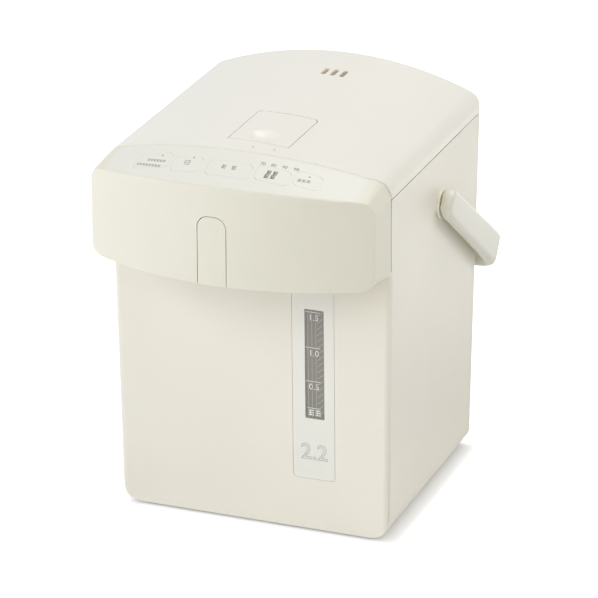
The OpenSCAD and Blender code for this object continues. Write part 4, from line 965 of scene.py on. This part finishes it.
# %% The round hub
spot = strap_graph.node("GeometryNodeInputPosition", {})
parts = strap_graph.node("ShaderNodeSeparateXYZ", {}, spot)
x, u, w = (Signal(strap_graph, parts.socket.node.outputs[k]) for k in range(3))
side = x.maths("SIGN", x)
hub_r, edge_r = given["Hub radius"], given["Edge radius"]
before = u.at_most(0.0) * -1.0
circle = (1.0 - (before / hub_r) * (before / hub_r)).at_least(0.0009).root()
to_tip = (hub_r - before).at_most(edge_r)
missing = edge_r - to_tip
drop_in = edge_r - (edge_r * edge_r - missing * missing).at_least(0.0).root()
thin = 1.0 - drop_in * 2.0 / given["Thickness"]
off_middle = (x - side * given["Arm middle"]) * thin
hub_x = side * given["Arm middle"] + off_middle
is_hub = u.maths("LESS_THAN", u, 0.0)
new_x = x + (hub_x - x) * is_hub
print("nodes for the hub:", len(strap_graph.tree.nodes))

# %% [markdown]
# Along the arms the strap gets wider towards the crossbar, where the hand needs room. The crossbar is
# also thicker than the arms, and the change is spread over the bend. Both are shares from 0 to 1 that
# stretch the strap about its middle line.

# %% The flare and the crossbar
BEND_FADE, BAR_ZONE = 0.012, 0.02
flare = (u / given["Length"]).at_least(0.0).at_most(1.0)
widen = 1.0 + (given["Grip half width"] / hub_r - 1.0) * flare
in_bar = ((given["Arm middle"] - x.size()) / BEND_FADE).at_least(0.0).at_most(1.0)
bar_middle = given["Length"] - given["Grip thickness"] / 2.0
thicker = (given["Grip thickness"] / given["Thickness"] - 1.0) * in_bar
new_u = u + (u - bar_middle) * thicker * (u.maths("GREATER_THAN", u, bar_middle - BAR_ZONE))
where = strap_graph.node("ShaderNodeCombineXYZ", {}, new_x, new_u, w * widen * circle)
shaped = strap_graph.node("GeometryNodeSetPosition", {}, Geometry=strap, Position=where)
turned = strap_graph.node("GeometryNodeTransform", {}, Geometry=shaped,
                          Translation=placed(0, PIVOT_Y, PIVOT_HEIGHT), Rotation=(-HANDLE_DROP, 0, 0))
smooth = strap_graph.node("GeometryNodeSetShadeSmooth", {}, turned)
strap_tree = end_shape(strap_graph, smooth, handle_finish)
print("nodes of the whole strap:", len(strap_tree.nodes))

# %% [markdown]
# The path has only four corners: hub, bend, bend, hub. It is a curve object, and the tree runs on it
# with the handle's sizes as its inputs. The piece swings with the body of the handle.

# %% Grow the handle
path = bpy.data.curves.new("strap_path", "CURVE")
path.dimensions = "3D"
line = path.splines.new("POLY")
bar_at = HANDLE_LENGTH - GRIP_THICK / 2
corners = [(ARM_MIDDLE, -HUB_R), (ARM_MIDDLE, bar_at), (-ARM_MIDDLE, bar_at), (-ARM_MIDDLE, -HUB_R)]
line.points.add(len(corners) - 1)
for point, (cx, cu) in zip(line.points, corners):
    point.co = (cx / 1000, cu / 1000, 0, 1)
handle = baked("handle_strap", bpy.data.objects.new("strap_path", path), strap_tree, {
    "Hub radius": HUB_R / 1000, "Grip half width": GRIP_HALF / 1000, "Thickness": ARM_THICK / 1000,
    "Grip thickness": GRIP_THICK / 1000, "Edge radius": STRAP_EDGE_R / 1000, "Bend radius": BEND_R / 1000,
    "Length": HANDLE_LENGTH / 1000, "Arm middle": ARM_MIDDLE / 1000}, "handle", handle_finish)
mark_edges(handle.data, 50)
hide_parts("handle")
print("across the handle:", round(2000 * max(v.co.x for v in handle.data.vertices), 1), "mm")

# %% [markdown]
# Printed marks are flat meshes a few hundredths of a millimetre above what they are printed on. Each is
# drawn on paper first, with u to the right and v up, in millimetres. A painted texture could show it
# too, but a mesh stays sharp at any size. The label blocks stand for words: rows of small strokes.

# %% Draw marks on paper
def bar(u, v, width, height, turn=0.0):
    """A rectangle round (u, v) as a list with one polygon."""
    c, s = math.cos(turn), math.sin(turn)
    return [[(u + c * a * width / 2 - s * b * height / 2, v + s * a * width / 2 + c * b * height / 2)
             for a, b in ((-1, -1), (1, -1), (1, 1), (-1, 1))]]


def disc(u, v, radius, sides=20):
    """A round dot as a list with one polygon."""
    return [[(u + radius * math.cos(math.tau * k / sides), v + radius * math.sin(math.tau * k / sides))
             for k in range(sides)]]


def glyph(u, v, size, weight):
    """A small block of strokes that reads as a printed character."""
    rows = [bar(u, v + size * k, size * 0.9, weight) for k in (-0.4, 0.0, 0.4)]
    return [*rows[0], *rows[1], *rows[2], *bar(u - size * 0.2, v, weight, size * 0.9)]


def word(u, v, count, size, weight, gap=1.16):
    """A row of such blocks, with its middle at (u, v)."""
    start = u - (count - 1) * size * gap / 2
    return [shape for k in range(count) for shape in glyph(start + k * size * gap, v, size, weight)]


print("a word of three blocks has", len(word(0, 0, 3, 2.4, 0.5)), "strokes")

# %% [markdown]
# Digits come from a Text object in Blender's own font. Its outline is made a mesh before it is placed,
# because the deck is curved and a Text object can't bend. With an outline width, only the edges of the
# digits are drawn, as a thin flat line.

# %% Digits
FONT_SIZE_PER_HEIGHT = 1.38


def digits(text, height, outline=0.0):
    """The polygons of a line of digits, centred on the origin."""
    data = bpy.data.curves.new("digits", "FONT")
    data.body, data.size = text, height * FONT_SIZE_PER_HEIGHT
    data.align_x, data.align_y = "CENTER", "CENTER"
    data.resolution_u = 5
    if outline:
        data.fill_mode, data.bevel_depth, data.bevel_resolution = "NONE", outline / 2, 0
    obj = bpy.data.objects.new("digits", data)
    bpy.context.scene.collection.objects.link(obj)
    bpy.context.view_layer.update()
    mesh = bpy.data.meshes.new_from_object(obj.evaluated_get(bpy.context.evaluated_depsgraph_get()))
    shapes = [[tuple(mesh.vertices[i].co[:2]) for i in face.vertices] for face in mesh.polygons]
    bpy.data.objects.remove(obj)
    bpy.data.meshes.remove(mesh)
    return shapes


print("the number 2.2 has", len(digits("2.2", 11.4)), "faces")

# %% [markdown]
# A second function says where a place of the paper lies on the pot: on the ruled deck, or on the drafted
# front. It takes the paper's u and v and gives a point in metres, lifted by the thickness of the ink.

# %% Places of the paper on the pot
INK_LIFT = 0.03


def on_deck(middle, t):
    """Paper laid on the deck with its middle at x and t."""
    def place(u, v):
        x = middle + u
        length = math.dist(deck(x, 0), deck(x, 1))
        down = deck(x, t - v / length)
        return placed(down[0], down[1] - INK_LIFT * math.sin(DECK_TILT),
                      down[2] + INK_LIFT * math.cos(DECK_TILT))
    return place


def on_front(middle, height, sink=0.0):
    """Paper laid on the case front, or sunk under it."""
    return lambda u, v: placed(middle + u, case_front(height + v) + sink - INK_LIFT, height + v)


def printed(name, shapes, place, finish, body):
    """Turns the polygons of a paper into a thin piece on the pot."""
    points, faces = [], []
    for shape in shapes:
        faces.append(range(len(points), len(points) + len(shape)))
        points.extend(place(u, v) for u, v in shape)
    mesh = bpy.data.meshes.new(name)
    mesh.from_pydata(points, [], [list(face) for face in faces])
    return show(name, mesh, finish, body)


print("the deck is", round(math.dist(deck(0, 0), deck(0, 1)), 1), "mm long in its middle")

# %% [markdown]
# Each key carries its legend, and each legend moves with its key's body. Beside the keys the film has
# small lamps that show the state, and the four temperatures that the pot can keep. Lamps and numbers
# are on the film, so they ride on the pot.

# %% The legends of the keys
printed("reboil_legend", [*word(0.8, 1.6, 6, 2.0, 0.42), *word(-3.4, -3.4, 8, 2.0, 0.42)],
        on_deck(-50.0, 0.53), grey_ink, "reboil_key_body")
printed("lock_legend", [*bar(-1.7, 0.3, 0.5, 3.2), *bar(0.2, 1.9, 2.8, 0.5), *bar(0.2, 0.0, 2.8, 0.5),
                        *bar(1.6, 0.4, 0.5, 3.4), *bar(0.2, -1.7, 2.8, 0.5)],
        on_deck(-26.6, 0.462), grey_ink, "lock_key_body")
printed("dispense_legend", [*word(-3.4, 0, 1, 3.1, 0.62), *word(3.4, 0, 1, 3.1, 0.62)],
        on_deck(2.4, 0.452), grey_ink, "dispense_key_body")
printed("temperature_legend", word(0.3, 1.8, 2, 3.1, 0.8, 1.3) + word(-0.3, -1.8, 2, 3.1, 0.8, 1.3),
        on_deck(30.3, 0.49), dark_ink, "temperature_key_body")
printed("power_legend", word(0, 0, 3, 2.4, 0.5), on_deck(51.3, 0.515), grey_ink, "power_key_body")

# %% [markdown]
# The numbers are printed in dark grey above their key. The lamps are dots of 1.3 mm, unlit.

# %% Temperatures and lamps on the film
for text, x in (("70", 22.5), ("80", 29.4), ("90", 36.4), ("98", 43.6)):
    printed("temperature_" + text, digits(text, 2.5), on_deck(x, 0.25), dark_ink, "pot")
for name, x, t in (("reboil", -46.6, 0.335), ("lock", -23.4, 0.32), ("power", 53.3, 0.385)):
    printed(name + "_indicator", disc(0, 0, 0.65), on_deck(x, t), grey_ink, "pot")

# %% [markdown]
# The gauge window carries white lines and numbers in litres, and under it the size of the pot, 2.2, as
# an outline. The marks of the scale lie a little under the case front, on the window's clear strip.

# %% The gauge's scale
WINDOW_X, WINDOW_LOW, WINDOW_HIGH, WINDOW_SINK = PANEL_X, 81.8, 159.6, 0.6
LITRE_HEIGHTS = {"1.5": 157.6, "1.0": 132.4, "0.5": 108.4}

for text, z in LITRE_HEIGHTS.items():
    line_place = on_front(WINDOW_X - 1.2, z, WINDOW_SINK)
    printed("litre_line_" + text, bar(0, 0, 10.0, 0.42), line_place, white_ink, "pot")
    digit_place = on_front(WINDOW_X - 0.6, z - 4.0, WINDOW_SINK)
    printed("litre_" + text, digits(text, 4.3), digit_place, white_ink, "pot")
printed("refill_mark", [*bar(-0.6, 3.2, 9.0, 0.42), *word(0, 0, 2, 4.0, 0.8)],
        on_front(WINDOW_X - 0.3, 86.0, WINDOW_SINK), white_ink, "pot")
printed("size_mark", digits("2.2", 11.4, 0.42), on_front(WINDOW_X - 0.6, 57.2), pale_ink, "pot")
print("half a litre is", round(LITRE_HEIGHTS["1.0"] - LITRE_HEIGHTS["0.5"], 1), "mm on the scale")

# %% [markdown]
# Several things on the pot are rows of equal bars: the hatching in the gauge, the lines of its tube and
# the ribs in the steam vents. Copies could be placed by a loop in Python. A tree needs only a line of
# points, a bar, and a copy of the bar on each point. Its inputs say how many, how large, how turned.

# %% A row of bars
row_graph, given_row = new_shape("row of bars", (
    ("Count", "NodeSocketInt"), ("First", "NodeSocketVector"), ("Step", "NodeSocketVector"),
    ("Bar size", "NodeSocketVector"), ("Turn", "NodeSocketVector")))
places = row_graph.node("GeometryNodeMeshLine", {}, Count=given_row["Count"],
                        Start_Location=given_row["First"], Offset=given_row["Step"])
block = row_graph.node("GeometryNodeMeshCube", {}, Size=given_row["Bar size"])
row = row_graph.node("GeometryNodeInstanceOnPoints", {}, Points=places, Instance=block,
                     Rotation=given_row["Turn"])
bars_tree = end_shape(row_graph, row, hatch_ink)


def row_of_bars(name, count, first, last, size, turn, finish, body):
    """Equal bars from one place to another, both in the designer's frame."""
    start, stop = placed(*first), placed(*last)
    carrier = bpy.data.objects.new(name + "_row", bpy.data.meshes.new(name + "_row"))
    return baked(name, carrier, bars_tree, {
        "Count": count, "First": start, "Step": (stop - start) / (count - 1),
        "Bar size": Vector(size) / 1000, "Turn": Vector(turn)}, body, finish)


print("nodes of the row:", len(bars_tree.nodes))

# %% [markdown]
# Behind its clear strip the gauge shows the glass tube in front of a hatched card: the slanted lines
# bend where the water stands. The hatching is one row of seventeen bars, and the walls of the tube are
# a row of three upright lines.

# %% The hatched card and the tube's lines
HATCH_X, HATCH_TURN = WINDOW_X + 3.9, math.radians(-42)
TUBE_LEFT, TUBE_RIGHT = WINDOW_X - 4.6, WINDOW_X + 0.9
HALF_WAY = (WINDOW_LOW + WINDOW_HIGH) / 2


def in_window(x, z):
    return x, case_front(z) + WINDOW_SINK - 0.02, z


row_of_bars("gauge_hatch", 17, in_window(HATCH_X, WINDOW_LOW + 4), in_window(HATCH_X, WINDOW_HIGH - 3),
            (5.4, 0.03, 0.4), (0, HATCH_TURN, 0), hatch_ink, "pot")
row_of_bars("gauge_tube_lines", 3, in_window(TUBE_LEFT, HALF_WAY), in_window(TUBE_RIGHT, HALF_WAY),
            (0.35, 0.03, WINDOW_HIGH - WINDOW_LOW - 2), (FRONT_DRAFT, 0, 0), hatch_ink, "pot")

# %% [markdown]
# Steam leaves through three slots in the lid. Under them sits the brown top of the steam duct, with
# ribs that keep a finger out. The same row of bars makes the ribs.

# %% The steam duct's top under the vents
VENT_X, VENT_Y, VENT_PITCH, VENT_DEPTH = 8.1, 136.5, 6.5, 1.7
rib_height = lid_height(VENT_X) - VENT_DEPTH
first_rib = (VENT_X - VENT_PITCH, VENT_Y, rib_height)
last_rib = (VENT_X + VENT_PITCH, VENT_Y, rib_height)
row_of_bars("vent_ribs", 3, first_rib, last_rib, (5.6, 15.5, 0.8), (0, 0, 0), vent_finish, "lid")

# %% [markdown]
# The head is a separate moulding in front of the case. Between the two, on each side, runs an open joint
# that is deeper than it is wide. A dark strip inside it is painted shadow: it stands for the shade deep
# in the joint, so the joint reads as a dark line.

# %% The painted shadow in the joints beside the head
JOINT_HEIGHT, JOINT_X = 219, HALF - 0.45
joint_depth = case_front(JOINT_HEIGHT) - 0.8
row_of_bars("head_joint", 2, (-JOINT_X, joint_depth, JOINT_HEIGHT), (JOINT_X, joint_depth, JOINT_HEIGHT),
            (0.5, 1.4, 50), (FRONT_DRAFT, 0, 0), joint_painted_shadow, "pot")

# %% [markdown]
# Two short strokes, a little darker than the lid, are drawn in front of the lever.

# %% The marks in front of the lever
def on_lid(middle, depth):
    return lambda u, v: placed(middle + u, depth + v, lid_height(middle + u) + INK_LIFT)


for name, x, y in (("open_mark", 10.0, -17.2), ("close_mark", 23.7, -14.7)):
    printed(name, bar(0, 0, 1.2, 3.4, 0.2), on_lid(x, y), lid_stroke_ink, "lid")
print("marks on the lid: 2")

# %% [markdown]
# The pot stands in a white room. The room is the world's colour: it is white where the camera, a
# reflection or a clear piece looks at it, and gives no light otherwise. So the white background
# doesn't wash out the cream plastic, and the lamps alone shape it.

# %% Room
scene = bpy.context.scene
scene.view_settings.view_transform = "Standard"
world = bpy.data.worlds.new("studio")
scene.world = world
world.use_nodes = True
room = Graph(world.node_tree)
direct, clear_ray, glossy = (room.node("ShaderNodeLightPath", {}, output=f"Is {kind} Ray")
                             for kind in ("Camera", "Transmission", "Glossy"))
background = room.tree.nodes["Background"]
background.inputs["Color"].default_value = (1, 1, 1, 1)
room.tree.links.new(direct.at_least(clear_ray).at_least(glossy).socket, background.inputs["Strength"])
print("nodes of the room:", len(room.tree.nodes))

# %% [markdown]
# Five wide soft lamps stand round the pot, the strongest on the left. A wide lamp gives the soft edges
# of light that a smooth shell needs. Each is placed by its direction from the pot and turned to look
# at it. Those from the left and behind are a little cool, those from the right a little warm.

# %% Lamps
LAMP_DISTANCE, LAMP_SIZE, LAMP_AIM = 2.6, 1.6, Vector((0, 0, 0.13))


def away_from(azimuth, elevation):
    """The direction from the pot outwards. Azimuth 0 is in front and 90 degrees on the right."""
    return Vector((math.sin(azimuth) * math.cos(elevation), -math.cos(azimuth) * math.cos(elevation),
                   math.sin(elevation)))


def lamp(name, azimuth, elevation, watts, colour):
    """A square soft lamp that looks at the pot, placed by its angles in degrees."""
    data = bpy.data.lights.new(name, "AREA")
    data.shape, data.size, data.energy, data.color = "SQUARE", LAMP_SIZE, watts, colour
    obj = bpy.data.objects.new(name, data)
    scene.collection.objects.link(obj)
    back = away_from(math.radians(azimuth), math.radians(elevation))
    obj.location = LAMP_AIM + back * LAMP_DISTANCE
    obj.rotation_mode = "QUATERNION"
    obj.rotation_quaternion = (-back).to_track_quat("-Z", "Y")


lamp("left_lamp", -55, 25, 34.5, (0.97, 1.0, 1.09))
lamp("front_lamp", 0, 25, 17, (1.0, 1.0, 1.0))
lamp("right_lamp", 45, 45, 14, (1.0, 0.995, 0.98))
lamp("far_right_lamp", 110, 35, 18, (1.0, 0.995, 0.985))
lamp("back_lamp", 165, 60, 29, (0.995, 1.0, 1.02))

# %% [markdown]
# The pot stands on a plain white sweep, a diffuse sheet. Seen directly, light is added to it so that
# it is as white as the room, except close around the foot, where the contact shadow stays. The
# distance from a plain rectangle gives that band. In reflections the sweep fades more widely.

# %% Floor
SWEEP_HALF = 8
sweep_corners = [(a * SWEEP_HALF, b * SWEEP_HALF, 0) for a, b in ((-1, -1), (1, -1), (1, 1), (-1, 1))]
floor_mesh = bpy.data.meshes.new("floor")
floor_mesh.from_pydata(sweep_corners, [], [(0, 1, 2, 3)])
floor = bpy.data.objects.new("floor", floor_mesh)
scene.collection.objects.link(floor)
sweep = Finish("white_sweep", (0.86, 0.86, 0.86), 0.9)
paper = sweep.noise(220.0, 2.0)
sweep.feed("Roughness", paper * 0.1 + 0.82)
sweep.feed("Base Color", sweep.blend(paper, (0.855, 0.855, 0.855), (0.865, 0.865, 0.865)))
dress(floor, sweep.material)
print("the sweep measures", 2 * SWEEP_HALF, "m")

# %% [markdown]
# What is added to the sweep depends on who looks. Light Path says so: a camera ray sees the narrow
# band round the foot, and a ray that comes off a glossy or clear piece sees the wide fade.

# %% The sweep's white
FOOT_MIDDLE, FOOT_HALF, CONTACT_WIDTH = (0.006, placed(0, 88, 0).y), (0.089, 0.080), 0.018
GLOW_MIDDLE, GLOW_START, GLOW_END, GLOW_LEAST, CONTACT_LEAST = (0.05, 0.08, 0.0), 0.13, 0.36, 0.3, 0.12
SOFTLY = {"interpolation_type": "SMOOTHSTEP"}
looked_at, through, mirrored = (sweep.node("ShaderNodeLightPath", {}, output=f"Is {kind} Ray")
                                for kind in ("Camera", "Transmission", "Glossy"))
away = sweep.node("ShaderNodeVectorMath", {"operation": "DISTANCE"}, sweep.places, GLOW_MIDDLE,
                  output="Value")
glow = sweep.node("ShaderNodeMapRange", SOFTLY, away, GLOW_START, GLOW_END, GLOW_LEAST, 1.0)
across = sweep.node("ShaderNodeSeparateXYZ", {}, sweep.places)
side_way, deep_way = (Signal(sweep, across.socket.node.outputs[k]) for k in range(2))
past_side = ((side_way - FOOT_MIDDLE[0]).size() - FOOT_HALF[0]).at_least(0.0)
past_deep = ((deep_way - FOOT_MIDDLE[1]).size() - FOOT_HALF[1]).at_least(0.0)
past = (past_side * past_side + past_deep * past_deep).root()
contact = sweep.node("ShaderNodeMapRange", SOFTLY, past, 0.0, CONTACT_WIDTH, CONTACT_LEAST, 1.0)
sweep.feed("Emission Color", looked_at * contact + mirrored.at_least(through) * glow)
sweep.shader.inputs["Emission Strength"].default_value = 1.0
print("the sweep is fully white", round(1000 * CONTACT_WIDTH), "mm from the foot")

# %% [markdown]
# The camera stands to the right of the front, a little above the pot, with a long lens. Its place and
# lens were fitted to the pot's straight edges.

# %% Camera
FIT_SCALE = 195 / 190
AZIMUTH, ELEVATION, ROLL = (math.radians(a) for a in (20.9, 22.27, -0.129))
LOOK_AT, EYE_DISTANCE = Vector((2.983, 80.0, 127.36)) * FIT_SCALE, 2620.06 * FIT_SCALE
FOCAL_PIXELS, FRAME_PIXELS, SENSOR = 4018.65, 598, 36.0

back = away_from(AZIMUTH, ELEVATION)
eye = LOOK_AT + back * EYE_DISTANCE
facing = (-back).to_track_quat("-Z", "Y") @ Matrix.Rotation(ROLL, 3, "Z").to_quaternion()
camera_data = bpy.data.cameras.new("camera")
camera_data.sensor_width = SENSOR
camera_data.lens = FOCAL_PIXELS / FRAME_PIXELS * SENSOR
camera_data.clip_end = 60
camera = bpy.data.objects.new("camera", camera_data)
scene.collection.objects.link(camera)
camera.location = placed(*eye)
camera.rotation_mode = "QUATERNION"
camera.rotation_quaternion = facing
scene.camera = camera
print("camera", [round(v, 3) for v in camera.location], "lens", round(camera_data.lens, 1))
